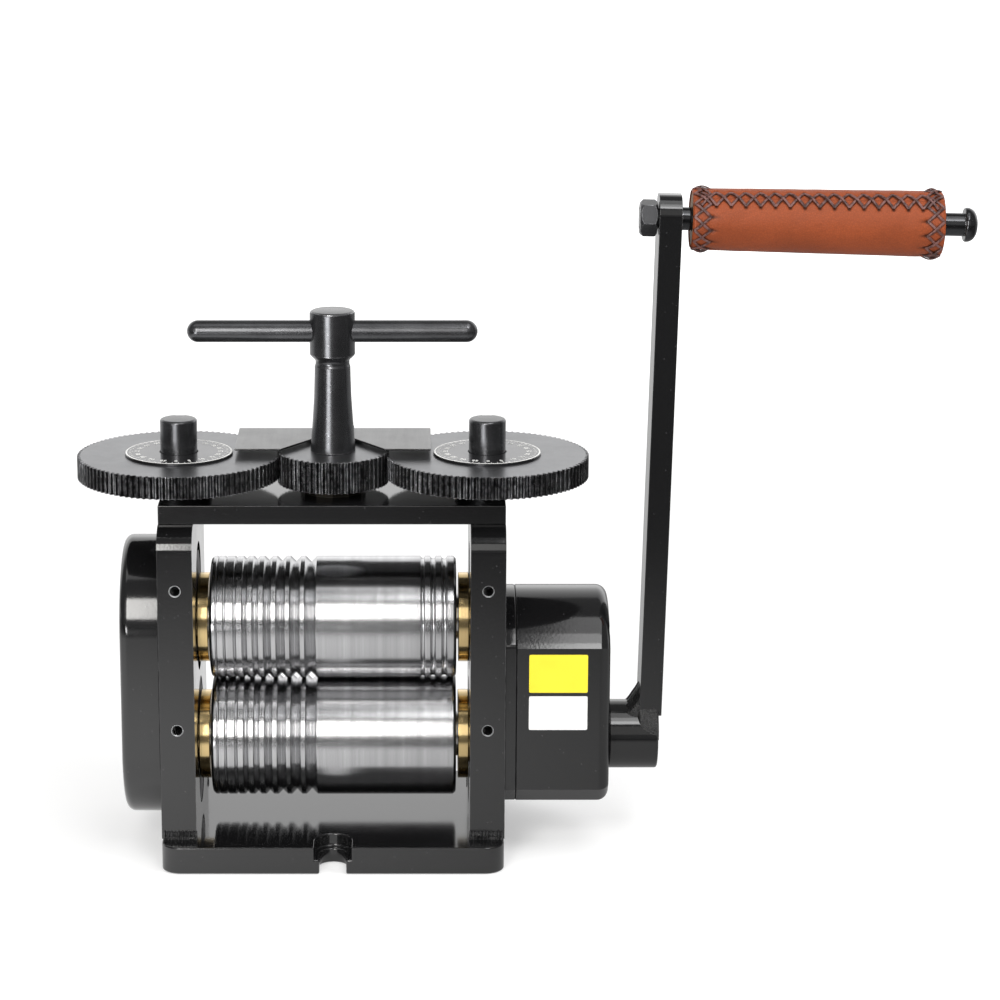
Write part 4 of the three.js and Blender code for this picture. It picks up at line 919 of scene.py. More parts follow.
class MILL_OT_crown(bpy.types.Operator):
    """Build the crown plate, the collars under the dials and the index plate on its bracket"""

    bl_idname = "mill.crown"
    bl_label = "Crown and index plate"

    def execute(self, context):
        edge = context.scene.mill_sizes.edge_rounding
        half, depth = PLATE_OUTER, CROWN_HALF_DEPTH
        outline = [(-half, -depth), (half, -depth), (half, depth), (-half, depth)]
        holes = [circle(sign * DIAL_X, 0, 4.4, 32) for sign in (-1, 1)] + [circle(0, 0, 7.1, 40)]
        crown = mesh_object("crown", plate(outline, PLATE_TOP, CROWN_TOP, holes), "gloss_black_paint")
        placed(shaped(crown, [], edge * 0.8, 2), "frame", "black_paint", "crown_plate")
        ring = turned([(6.0, CROWN_TOP), (9.6, CROWN_TOP), (10.0, 113.2), (10.0, 116.7), (9.6, 117.1),
                       (6.0, 117.1), (6.0, CROWN_TOP)], 64)
        for side, sign in SIDES:
            collar = mesh_object(f"dial_collar_{side}", ring, "blackened_steel", at(sign * DIAL_X))
            placed(collar, "frame", "black_steel", f"{side}_dial_collar")
        notched = [(-LEAF_SIDE, LEAF_FRONT), (-16, LEAF_FRONT), (0, 19.5), (16, LEAF_FRONT),
                   (LEAF_SIDE, LEAF_FRONT), (LEAF_SIDE, LEAF_BACK), (-LEAF_SIDE, LEAF_BACK)]
        leaf = mesh_object("index_leaf", plate(notched, LEAF_BOTTOM, LEAF_TOP), "index_steel")
        placed(shaped(leaf, [], 0.00014, 2), "frame", "black_steel", "index_plate")
        upright = [(-9, 107.3), (9, 107.3), (9, LEAF_BOTTOM), (-9, LEAF_BOTTOM)]
        post = mesh_object("index_post", plate(upright, -LEAF_BACK, -depth), "gloss_black_paint", UPRIGHT)
        placed(shaped(post, [], edge, 2), "frame", "black_paint", "index_bracket")
        return {"FINISHED"}


def stadium(inset, steps=28):
    """The oblong outline of the left cover, drawn in (y, z)."""
    radius, half = 25.7 - inset, 18.6
    return (arc(0, COVER_MIDDLE + half, radius, 0, 180, steps)
            + arc(0, COVER_MIDDLE - half, radius, 180, 360, steps))


def box_outline(inset, steps=36):
    """The gearbox outline in (y, z): a round top, straight sides and cut lower corners."""
    half, radius, low = BOX_HALF_DEPTH - inset, 29.0 - inset, 18.0 + inset
    crease = math.degrees(math.acos(half / radius))
    corner = 5.0 - inset * 0.6
    return [(-half + corner, low), (half - corner, low), (half, low + corner),
            *arc(0, 52.4, radius, crease, 180 - crease, steps), (-half, low + corner)]


def shell_rings(outline, seam, face, fillet, wall, steps=8):
    """Rings of a shell that is open at its seam: up the inside, then out and round to its face."""
    way = 1 if face > seam else -1
    inner = fillet - wall * 0.6
    turns = [math.pi / 2 * i / steps for i in range(steps + 1)]
    spots = [(wall + inner * (1 - math.cos(turn)), face - way * (wall + inner * (1 - math.sin(turn))))
             for turn in reversed(turns)]
    spots += [(wall, seam), (0.35, seam), (0.0, seam + way * 0.35)]
    spots += [(fillet * (1 - math.cos(turn)), face - way * fillet * (1 - math.sin(turn)))
              for turn in turns]
    return [[(x, y, z) for y, z in outline(inset)] for inset, x in spots]


class MILL_OT_covers(bpy.types.Operator):
    """Build the cover of the coupling gears, the gearbox and its adapter plate"""

    bl_idname = "mill.covers"
    bl_label = "Gear covers"

    def execute(self, context):
        well = drum(3.1, -2.2, 2, 40)
        cup = turned([(0, -2.6), (3.5, -2.6), (3.5, -0.4), (3.06, -0.4), (3.06, -2.2), (0, -2.2)], 40)
        cover_rings = shell_rings(stadium, -PLATE_OUTER, COVER_FACE, 2.8, 1.2)
        box_rings = shell_rings(box_outline, BOX_SEAM, BOX_FACE, 3.5, 2.0)
        for name, rings, solid, face, spots, turn in (
                ("coupling_cover", cover_rings, "left_gear_cover", COVER_FACE, COVER_SCREWS,
                 ALONG_X.inverted()),
                ("gearbox_shell", box_rings, "gearbox_cover", BOX_FACE, BOX_SCREWS, ALONG_X)):
            shell = mesh_object(name, loft(rings), "gloss_black_paint")
            places = [at(face, y, z) @ turn for y, z in spots]
            wells = [mesh_object("well", well, "gloss_black_paint", place) for place in places]
            cups = [mesh_object("cup", cup, "gloss_black_paint", place) for place in places]
            shaped(shell, wells, angle=8)
            placed(joined(name, [shell, *cups]), "frame", "black_paint", solid)
        holes = [circle(0, LOWER_AXIS, 7.6), circle(0, LAYSHAFT_AXIS, 5.8)]
        adapter = mesh_object("gearbox_flange", plate(box_outline(0), PLATE_OUTER, BOX_SEAM, holes),
                              "gloss_black_paint", CYCLE)
        placed(shaped(adapter, [], 0.0003, 2, 40), "frame", "black_paint", "gearbox_adapter_plate")
        return {"FINISHED"}


class MILL_OT_screws(bpy.types.Operator):
    """Build the socket screws of the covers, the bracket and the index plate"""

    bl_idname = "mill.screws"
    bl_label = "Cap screws"

    def execute(self, context):
        tree = cap_screw_tree()
        quarter = math.pi / 2
        for name, points, turn, radius, height in (
                ("coupling_cover_screws", [(COVER_FACE + 0.2, *spot) for spot in COVER_SCREWS],
                 (0, -quarter, 0), 2.75, 1.9),
                ("gearbox_screws", [(BOX_FACE - 0.3, *spot) for spot in BOX_SCREWS],
                 (0, quarter, 0), 2.75, 1.9),
                ("bracket_screws", [(x, 26.2, 109.9) for x in (-5.5, 5.5)],
                 (-quarter, 0, 0), 2.75, 2.0),
                ("index_screws", [(x, 22.1, 128.2) for x in (-4.2, 4.2)], (0, 0, 0), 1.9, 1.3)):
            screws = grown(name, tree, "blackened_steel", points, Rotation=turn, Head_radius=radius * MM,
                           Head_height=height * MM, Socket_radius=radius * 0.52 * MM)
            placed(shaped(screws, [], 0.00018, 2), "frame", "black_steel")
        return {"FINISHED"}


def roll_profile(edge, round_grooves, right_neck):
    """A roll's profile of (radius, x), from the end of its left neck to that of its right one."""
    radius, neck, end = ROLL_RADIUS, NECK_RADIUS, ROLL_END
    corner = [(radius - 1.1, -end), (radius - 0.75, -end + 0.1), (radius - 0.1, -end + 0.75),
              (radius, -end + 1.1)]
    profile = [(0, -63.5), (5.8, -63.5), (6.0, -63.3), (6.0, -62.9), (5.1, -62.9), (5.1, -61.9),
               (6.0, -61.9), (6.0, -53.7), (neck, -53.7), (neck, -end), *corner]
    for start, width in WIRE_GROOVES:
        middle, half = -end + start, width / 2
        profile += [(radius, middle - half - edge), (radius - edge * 0.7, middle - half + edge * 0.5),
                    (radius - half, middle - 0.03), (radius - half, middle + 0.03),
                    (radius - edge * 0.7, middle + half - edge * 0.5), (radius, middle + half + edge)]
    for start, width in round_grooves:
        middle, half = end - start, width / 2
        bowl = [(math.sin(math.pi * i / 12), math.cos(math.pi * i / 12)) for i in range(13)]
        profile += [(radius, middle - half - edge),
                    *[(radius - half * deep - edge * 0.5, middle - half * along) for deep, along in bowl],
                    (radius, middle + half + edge)]
    return [*profile, *[(r, -x) for r, x in reversed(corner)], (neck, end), *right_neck]


class MILL_OT_rolls(bpy.types.Operator):
    """Turn the two rolls with their grooves, and the flanged brass bushes beside them"""

    bl_idname = "mill.rolls"
    bl_label = "Rolls and bushes"

    def execute(self, context):
        edge = context.scene.mill_sizes.groove_edge / MM
        flange = turned([(7.3, 38.75), (13.75, 38.75), (13.93, 38.82), (14.0, 39.0), (14.0, 41.8),
                         (13.75, 42.05), (9.0, 42.05), (9.0, 52.7), (7.3, 52.7), (7.3, 38.75)], 80)
        upper_neck = [(NECK_RADIUS, 52.8), (0, 52.8)]
        lower_neck = [(NECK_RADIUS, 58.1), (6.0, 58.1), (6.0, 67.7), (2.9, 67.7), (2.9, 60.4), (0, 60.4)]
        for level, body, axis, grooves, neck in (
                ("upper", "upper_bearings", UPPER_AXIS, ROUND_GROOVES, upper_neck),
                ("lower", "frame", LOWER_AXIS, [], lower_neck)):
            roll = mesh_object(f"{level}_roll_turned", turned(roll_profile(edge, grooves, neck), 160),
                               "ground_roll_steel", at(z=axis) @ ALONG_X, 24)
            placed(roll, f"{level}_roll", "roll_steel", f"{level}_roll")
            for side, turn in (("left", ALONG_X.inverted()), ("right", ALONG_X)):
                bush = mesh_object(f"{level}_bush_{side}", flange, "turned_brass", at(z=axis) @ turn)
                placed(bush, body, "bush_brass", f"{level}_{side}_bush")
        return {"FINISHED"}


def toothed(name, tree, teeth, pitch_radius, bore, low, high, x=0.0, turn=0.0):
    """A toothed disc with slightly broken edges."""
    disc = grown(name, tree, "blackened_dial", Teeth=teeth, Bore_radius=bore, Turn=turn,
                 Tip_radius=(pitch_radius + TOOTH_HALF_HEIGHT) * MM, Thickness=(high - low) * MM,
                 Root_radius=(pitch_radius - TOOTH_HALF_HEIGHT) * MM, Centre=(x * MM, 0.0, low * MM))
    return shaped(disc, [], 0.00014, 1, 20)


class MILL_OT_dials(bpy.types.Operator):
    """Build the toothed dials, their scales and posts, and the adjusting pinion between them"""

    bl_idname = "mill.dials"
    bl_label = "Dials and pinion"

    def execute(self, context):
        disc, marks = toothed_disc_tree(), scale_mark_tree()
        pinion = toothed("toothed_pinion", disc, PINION_TEETH, PINION_PITCH_RADIUS, 0.0053,
                         PINION_BOTTOM, PINION_TOP)
        placed(pinion, "t_handle", "black_steel", "adjusting_pinion")
        bore, radius, top = SCALE_BORE, SCALE_RADIUS, SCALE_TOP
        face = turned([(bore, DIAL_TOP), (radius - 0.1, DIAL_TOP), (radius, DIAL_TOP + 0.1),
                       (radius, top - 0.1), (radius - 0.1, top), (bore, top), (bore, DIAL_TOP)], 128)
        rim = turned([(15.95, top - 0.01), (16.4, top - 0.01), (16.45, top + 0.02), (16.38, top + 0.05),
                      (16.0, top + 0.05), (15.95, top - 0.01)], 128)
        post = turned(rounded([(0, 93.5), (3.4, 93.5), (4.0, 94.1), (4.0, 113.2), (POST_RADIUS, 113.2),
                               (POST_RADIUS, POST_TOP), (0, POST_TOP + 0.15)], {5: 0.9}, 6), 72)
        keyway = plate([(-1.5, 4.4), (1.5, 4.4), (1.5, 8), (-1.5, 8)], 113.9, POST_TOP + 3)
        for side, sign in SIDES:
            x, body = sign * DIAL_X, f"{side}_dial"
            dial = toothed(f"toothed_dial_{side}", disc, DIAL_TEETH, DIAL_PITCH_RADIUS, bore * MM,
                           DIAL_BOTTOM, DIAL_TOP, x, math.pi / DIAL_TEETH)
            placed(dial, body, "black_steel", f"{side}_dial_gear")
            scale = mesh_object(f"scale_face_{side}", face, "scale_black", at(x))
            placed(scale, body, "scale_plate", f"{side}_dial_plate")
            placed(mesh_object(f"scale_border_{side}", rim, "scale_white", at(x)), body, "scale_plate")
            ticks = grown(f"scale_marks_{side}", marks, "scale_white", [(x, 0, top + 0.02)],
                          Count=context.scene.mill_sizes.scale_marks, Radius=0.0155, Length=0.0008,
                          Width=0.00016, Height=0.00006)
            placed(ticks, body, "scale_plate")
            placed(scale_digits(side, sign), body, "scale_plate")
            stem = mesh_object(f"screw_post_{side}", post, "blackened_steel", at(x))
            shaped(stem, [mesh_object("slot", keyway, "blackened_steel", at(x))])
            placed(stem, f"{side}_screw", "black_steel", f"{side}_pressure_screw")
        return {"FINISHED"}


def scale_digits(side, sign):
    """Plain numbers round one scale, turned to be read from outside."""
    digits = []
    for index in range(DIGIT_COUNT):
        name = f"digit_{index}"
        text = bpy.data.curves.new(name, "FONT")
        text.body = str(index * 5)
        text.size = DIGIT_HEIGHT * MM
        text.align_x = text.align_y = "CENTER"
        text.extrude = 0.00003
        text.resolution_u = 3
        holder = linked(name, text)
        graph = bpy.context.evaluated_depsgraph_get()
        mesh = bpy.data.meshes.new_from_object(holder.evaluated_get(graph))
        angle = 2 * math.pi * index / DIGIT_COUNT
        spot = Vector((sign * DIAL_X + DIGIT_RADIUS * math.sin(angle), -DIGIT_RADIUS * math.cos(angle),
                       SCALE_TOP + 0.03))
        mesh.transform(at(*(spot * MM)) @ Matrix.Rotation(angle, 4, "Z"))
        bpy.data.objects.remove(holder)
        digits.append(finish_mesh(name, mesh, "scale_white"))
    return joined(f"scale_digits_{side}", digits)


class MILL_OT_t_handle(bpy.types.Operator):
    """Turn the tapered column of the T-handle and its cross bar"""

    bl_idname = "mill.t_handle"
    bl_label = "T-handle"

    def execute(self, context):
        profile = [(0, 106.6), (4.0, 106.6), (4.0, 115.5), (5.0, 115.5), (5.0, 125.4), (6.75, 125.4),
                   (6.95, 125.6), (6.7, 129.0), (6.2, 135.5), (5.75, 142.5), (5.55, 149.0), (5.5, 152.0),
                   (5.35, 152.4), (5.22, 152.8), (5.22, 153.8), (5.45, 154.3), (6.6, 155.4), (6.95, 155.9),
                   (6.95, 168.5), (6.75, 169.05), (6.2, 169.38), (0, 169.45)]
        column = mesh_object("handle_column", turned(profile, 96), "blackened_steel", crease=26)
        across = at(z=BAR_HEIGHT) @ ALONG_X
        hole = mesh_object("hole", drum(BAR_RADIUS + 0.1, -12, 12, 48), "blackened_steel", across)
        placed(shaped(column, [hole], angle=24), "t_handle", "black_steel", "t_column")
        turns = [math.pi / 2 * i / 10 for i in range(11)]
        ends = [(BAR_RADIUS * math.sin(turn), BAR_REACH - BAR_RADIUS * (1 - math.cos(turn)))
                for turn in turns]
        bar = [(radius, -x) for radius, x in ends] + ends[::-1]
        bar = mesh_object("handle_bar", turned(bar, 56), "blackened_steel", across)
        placed(bar, "t_handle", "black_steel", "t_bar")
        return {"FINISHED"}


class MILL_OT_crank(bpy.types.Operator):
    """Build the crank hub, the arm, the handle bolt and its nut"""

    bl_idname = "mill.crank"
    bl_label = "Crank"

    def execute(self, context):
        axis = at(z=LOWER_AXIS) @ ALONG_X
        hub = rounded([(5.3, 86.0), (HUB_RADIUS, 86.0), (HUB_RADIUS, HUB_END), (5.3, HUB_END), (5.3, 86.0)],
                      {1: 0.7, 2: 0.9})
        hub = mesh_object("crank_hub_turned", turned(hub), "gloss_black_paint", axis)
        hole = mesh_object("hole", drum(2.8, 0, 14, 32), "gloss_black_paint",
                           at(94.0, 0, LOWER_AXIS) @ ALONG_Y)
        placed(shaped(hub, [hole], angle=28), "crank", "black_paint", "crank_hub")
        half, corner = ARM_HALF_WIDTH, ARM_CORNER
        inner, top = half - corner, ARM_LENGTH + half - corner
        outline = [(-half, 0), (half, 0), *arc(inner, top, corner, 0, 90, 14),
                   *arc(-inner, top, corner, 90, 180, 14)]
        arm = plate(outline, -ARM_HALF_THICKNESS, ARM_HALF_THICKNESS, [circle(0, ARM_LENGTH, BOLT_HOLE, 36)])
        arm = mesh_object("crank_arm_bar", arm, "gloss_black_paint", ARM_PLACE @ CYCLE)
        saddle = mesh_object("saddle", drum(HUB_RADIUS + 0.3, 80, 120, 96), "gloss_black_paint", axis)
        placed(shaped(arm, [saddle], 0.0006), "crank", "black_paint", "crank_arm")
        bolt = rounded([(0, -9.1), (2.5, -9.1), (3.0, -8.7), (3.0, 3.75), (3.52, 3.75), (3.52, 89.45),
                        (4.95, 89.45), (5.25, 89.95), (5.2, 90.9), (4.6, 92.2), (3.2, 93.1), (1.6, 93.45),
                        (0, 93.5)], {6: 0.2, 7: 0.3, 8: 0.5, 9: 0.9, 10: 0.9, 11: 0.7})
        bolt = mesh_object("handle_bolt_turned", turned(bolt, 64), "polished_bolt", ARM_TOP @ ALONG_X)
        placed(bolt, "crank", "black_steel", "handle_bolt")
        turns = [math.pi / 3 * i + NUT_TURN for i in range(6)]
        corners = [(NUT_RADIUS * math.cos(turn), NUT_RADIUS * math.sin(turn)) for turn in turns]
        nut = mesh_object("handle_nut_hex", plate(corners, -9.0, -3.75, [circle(0, 0, BOLT_HOLE, 36)]),
                          "blackened_steel", ARM_TOP @ CYCLE)
        cones = ([(8.0, -9.6), (8.0, -5.7), (4.1, -9.6), (8.0, -9.6)],
                 [(8.0, -6.23), (8.0, -3.2), (4.21, -3.2), (8.0, -6.23)])
        cones = [mesh_object("cone", turned(cone, 60), "blackened_steel", ARM_TOP @ ALONG_X)
                 for cone in cones]
        placed(shaped(nut, cones, 0.00016, 2, 20), "crank", "black_steel", "handle_nut")
        return {"FINISHED"}


def grip_radius(x):
    """Outer radius of the leather at a distance along the grip, which widens outwards."""
    from_end = min(x, GRIP_LENGTH - x)
    swell = 1 / (1 + math.exp((from_end - 6.0) * 1.4))
    edge = max(0.0, 1.0 - from_end / 0.8)
    return (GRIP_RADIUS + GRIP_TAPER * (x / GRIP_LENGTH - 0.5)
            + (GRIP_END_RADIUS - GRIP_RADIUS) * swell - 0.6 * edge ** 2)


def arc_from(angle, centre):
    """Distance round the grip from one angle to another."""
    return math.remainder(angle - centre, 2 * math.pi) * GRIP_RADIUS


def off_cross(height, cell):
    """Distance from the nearer lace of a cross, in cells, at a place in its square."""
    return min(abs(height - cell), abs(height - 1 + cell))


def stitch_holes(pitch, sizes):
    """The grip's stitch holes as (distance along it, angle)."""
    off = (HALF_LACE + 0.45) / GRIP_RADIUS
    holes = [(SEAM_START + pitch * i, LACE_ANGLE + side * off)
             for i in range(sizes.seam_crosses + 1) for side in (-1, 1)]
    for i in range(sizes.end_crosses):
        angle = LACE_ANGLE + 2 * math.pi / sizes.end_crosses * (i + 0.5)
        holes += [(END_HOLE + END_LACE, angle), (GRIP_LENGTH - END_HOLE - END_LACE, angle)]
    return holes


def leather_at(x, angle, near, pitch, end_crosses):
    """The radius of the leather, and how dark it is, at one place of the grip: a dark line along the seam,
    and painted shade beside the laces, in the stitch holes and in the puckers.
    """
    # The seam itself, with a dark line along it, and the leather that the laces of its crosses press in, with
    # painted shade beside each lace
    off = arc_from(angle, LACE_ANGLE)
    seam = math.exp(-(off / 0.25) ** 2)
    radius = grip_radius(x) - 0.12 * seam
    dark = 0.3 * seam
    if 1.6 < x < GRIP_LENGTH - 1.6 and abs(off) < HALF_LACE + 0.5:
        gap = off_cross(off / (2 * HALF_LACE) + 0.5, ((x - SEAM_START) / pitch) % 1) * 2 * HALF_LACE
        lean = pitch / math.hypot(pitch, 2 * HALF_LACE)
        strap = math.exp(-(gap * lean / 0.6) ** 4)
        radius -= 0.16 * strap
        dark = max(dark, 0.9 * strap)
    # The stitch holes, pressed in and darkened with painted shade
    for hole_x, hole_angle in near:
        gap = math.hypot(x - hole_x, arc_from(angle, hole_angle))
        radius -= 0.34 * math.exp(-(gap / 0.7) ** 2)
        dark = max(dark, math.exp(-(gap / 0.62) ** 4))
    # Puckers that the end laces pull, and painted shade in the puckers and beside the end laces
    from_end = min(x, GRIP_LENGTH - x)
    crease = 0.5 + 0.5 * math.cos((angle - LACE_ANGLE) * end_crosses + math.pi)
    fade = math.exp(-((from_end - 6.2) / 1.5) ** 2)
    radius -= 0.16 * fade * crease ** 6
    dark = max(dark, 0.75 * fade * crease ** 14)
    if from_end < 5.8:
        step = 2 * math.pi / end_crosses
        cell = ((angle - LACE_ANGLE) / step + 0.5) % 1
        lean = step * GRIP_RADIUS / math.hypot(step * GRIP_RADIUS, END_LACE)
        gap = off_cross((from_end - 0.5) / END_LACE, cell) * END_LACE * lean
        dark = max(dark, 0.9 * math.exp(-(gap / 0.58) ** 4))
    # Unevenness of the hide
    point = Vector((x * 0.06, math.cos(angle) * 0.6, math.sin(angle) * 0.6))
    return radius + 0.07 * noise.noise(point * 3.1), dark


def leather_sleeve(place, pitch, sizes, steps_x=260, steps_a=200):
    """The sewn leather: its pressed outside, its bore and its two end faces."""
    holes = stitch_holes(pitch, sizes)
    angles = [2 * math.pi * j / steps_a for j in range(steps_a)]
    rings = []
    for i in range(steps_x + 1):
        x = GRIP_LENGTH * i / steps_x
        near = [hole for hole in holes if abs(hole[0] - x) < 2.2]
        rings.append([(x, angle, *leather_at(x, angle, near, pitch, sizes.end_crosses))
                      for angle in angles])
    # The bore and the end faces are darkened a little, as painted shade
    for x in (GRIP_LENGTH, 0.0):
        rings.append([(x, angle, GRIP_BORE, 0.3) for angle in angles])
    vertices = [place @ Vector((x, -radius * math.cos(angle), radius * math.sin(angle))) * MM
                for ring in rings for x, angle, radius, dark in ring]
    faces = []
    for i in range(len(rings)):
        low, high = i * steps_a, (i + 1) % len(rings) * steps_a
        for j in range(steps_a):
            k = (j + 1) % steps_a
            faces.append((low + j, high + j, high + k, low + k))
    mesh = bpy.data.meshes.new("grip_sleeve")
    mesh.from_pydata(vertices, [], faces)
    # The darkness is kept per corner as the stitch_shade attribute, mostly painted shade
    layer = mesh.attributes.new("stitch_shade", "FLOAT", "POINT")
    layer.data.foreach_set("value", [spot[-1] for ring in rings for spot in ring])
    return finish_mesh("grip_sleeve", mesh, "tan_leather", 60)


class MILL_OT_grip(bpy.types.Operator):
    """Sew the leather sleeve of the grip with its laces and stitch holes"""

    bl_idname = "mill.grip"
    bl_label = "Leather grip"

    def execute(self, context):
        sizes = context.scene.mill_sizes
        place = ARM_PLACE @ at(GRIP_START, 0, ARM_LENGTH)
        pitch = (GRIP_LENGTH - 2 * SEAM_START) / sizes.seam_crosses
        sleeve = placed(leather_sleeve(place, pitch, sizes), "grip", "grip_hide", "grip_leather")
        end = GRIP_LENGTH
        core = turned([(3.8, 0.4), (8.3, 0.4), (8.5, 0.6), (8.5, end - 0.6), (8.3, end - 0.4),
                       (3.8, end - 0.4), (3.8, 0.4)], 72)
        core = mesh_object("grip_core_turned", core, "turned_hardwood", place @ ALONG_X)
        placed(core, "grip", "grip_wood", "grip_core")
        tree = lacing_tree()
        middle = LACE_ANGLE * GRIP_RADIUS * MM
        step = 2 * math.pi / sizes.end_crosses * GRIP_RADIUS * MM
        across = 2 * HALF_LACE * MM
        rise = END_LACE * MM
        start = (middle - step / 2, -0.0001)
        move = at(*(place.translation * MM)) @ place.to_3x3().to_4x4()
        for name, crosses, origin, one, over in (
                ("seam_lace", sizes.seam_crosses, (SEAM_START * MM, middle - across / 2, 0.0),
                 (pitch * MM, 0.0, 0.0), (0.0, across, 0.0)),
                ("inner_end_lace", sizes.end_crosses, (0.5 * MM, *start),
                 (0.0, step, 0.0), (rise, 0.0, 0.0)),
                ("outer_end_lace", sizes.end_crosses, ((end - 0.5) * MM, *start),
                 (0.0, step, 0.0), (-rise, 0.0, 0.0))):
            lace = grown(name, tree, "flat_lace", Crosses=crosses, Origin=origin, Step=one, Across=over,
                         Lace_width=sizes.lace_width, Lace_height=0.00045, Bulge=0.0003,
                         Radius=GRIP_RADIUS * MM)
            for corner in lace.data.vertices:
                widen = 1 + GRIP_TAPER * (corner.co.x / MM / end - 0.5) / GRIP_RADIUS
                corner.co.yz = corner.co.yz * widen
            lace.data.transform(move)
            placed(lace, "grip", "grip_hide")
        return {"FINISHED"}


def weld_noise(seed, *spot):
    """Uneven height of weld metal at a spot in millimetres."""
    point = Vector(spot) + Vector((seed, seed, seed))
    return noise.noise(point * 0.45) + 0.55 * noise.noise(point * 1.15)


def weld_end(i, steps, first, last):
    """How full a weld is at one of its rings: it is round at both ends."""
    share = min(1.0, (i + 0.5) / first, (steps - i + 0.5) / last)
    return math.sqrt(1 - (1 - share) ** 2)


def hub_apron(side, steps_x=36, steps_a=52):
    """Weld metal that runs from the arm's edge down the hub, at its front (-1) or back (1)."""
    rings = []
    for i in range(steps_x + 1):
        x = 95.1 + 6.5 * i / steps_x
        reach = 48 + 36 * (1 - math.exp(-(x - 95.0) / 1.7))
        full = weld_end(i, steps_x, 5, 4)
        outer, inner = [], []
        for j in range(steps_a + 1):
            left = 1 - j / steps_a
            turn = math.radians(reach - (reach - 35) * left)
            lump = 0.11 * weld_noise(3 + side, x, 10 * turn, 0) * min(1, 3.2 * left) * min(1, 3.2 - 3 * left)
            radius = 10.62 + (2.2 * left ** 1.35 + lump) * full
            y, z = side * math.sin(turn), math.cos(turn)
            outer.append((x, radius * y, LOWER_AXIS + radius * z))
            inner.append((x, 9.6 * y, LOWER_AXIS + 9.6 * z))
        rings.append(outer + inner[::-1])
    return loft(rings)


def arm_fillet(steps=44, steps_t=14):
    """Weld metal in the corner between the hub's top and the arm's inner side."""
    rings = []
    for i in range(steps + 1):
        y = -7.45 + 14.9 * i / steps
        low = LOWER_AXIS + math.sqrt(HUB_RADIUS ** 2 - y ** 2) - 0.1
        full = weld_end(i, steps, 4, 4)
        tall = (5.6 + 1.2 * weld_noise(5, 0, y, 0)) * full
        wide = (3.7 + 1.0 * weld_noise(9, 0, y, 0)) * full
        ring = []
        for j in range(steps_t + 1):
            t = j / steps_t
            lump = 0.45 * weld_noise(2, 8 * t, y, 0) * math.sin(math.pi * t)
            ring.append((95.7 - wide * t + lump, y, low + tall * (1 - t) ** 1.15 + lump))
        rings.append([*ring, (95.7 - wide, y, low - 0.8), (96.2, y, low - 0.8), (96.2, y, low + tall)])
    return loft(rings)


class MILL_OT_welds(bpy.types.Operator):
    """Lay the weld beads at the column feet and between the crank's arm and hub"""

    bl_idname = "mill.welds"
    bl_label = "Weld beads"

    def execute(self, context):
        tree = weld_bead_tree()
        half, foot = PLATE_HALF_DEPTH + 0.1, BASE_TOP + 0.1
        for side, sign in SIDES:
            path = [(x, y, foot + lift) for y in (-half, half) for lift in (0.0, 1.3)
                    for x in (sign * (PLATE_OUTER - 0.6), sign * (PLATE_INNER - 0.2))]
            bead = grown(f"column_weld_{side}", tree, "painted_weld", path, [(0, 1), (2, 3), (4, 5), (6, 7)],
                         60, Width=context.scene.mill_sizes.weld_width, Seed=3.0 + sign)
            placed(bead, "frame", "black_paint")
        for name, shape in (("crank_weld_front", hub_apron(-1)), ("crank_weld_back", hub_apron(1)),
                            ("crank_weld_inner", arm_fillet())):
            placed(mesh_object(name, shape, "painted_weld", crease=70), "crank", "black_paint")
        return {"FINISHED"}


class MILL_OT_stickers(bpy.types.Operator):
    """Lay two blank stickers on the front of the gearbox"""

    bl_idname = "mill.stickers"
    bl_label = "Blank stickers"

    def execute(self, context):
        for name, finish, low, high in (("upper_sticker", "sticker_yellow", 54.6, 66.75),
                                        ("lower_sticker", "sticker_white", 42.6, 53.45)):
            outline = rounded_box(60.35, 78.35, low, high, 0.5, 5)
            sticker = plate(outline, BOX_HALF_DEPTH, BOX_HALF_DEPTH + 0.12)
            placed(mesh_object(name, sticker, finish, UPRIGHT), "frame", "scale_plate")
        return {"FINISHED"}


# Stage, in metres


def glow(name, location, target, size, radiance, tint=(1, 1, 1)):
    """A rectangular lamp that faces a point, with the brightness that its face shows."""
    lamp = bpy.data.lights.new(name, "AREA")
    lamp.shape = "RECTANGLE"
    lamp.size, lamp.size_y = size
    lamp.energy = radiance * math.pi * size[0] * size[1]
    lamp.color = tint
    holder = linked(name, lamp)
    holder.location = location
    holder.rotation_euler = (Vector(target) - Vector(location)).to_track_quat("-Z", "Y").to_euler()
    return holder


def blank_tree(owner):
    owner.use_nodes = True
    owner.node_tree.nodes.clear()
    return Tree(owner.node_tree)


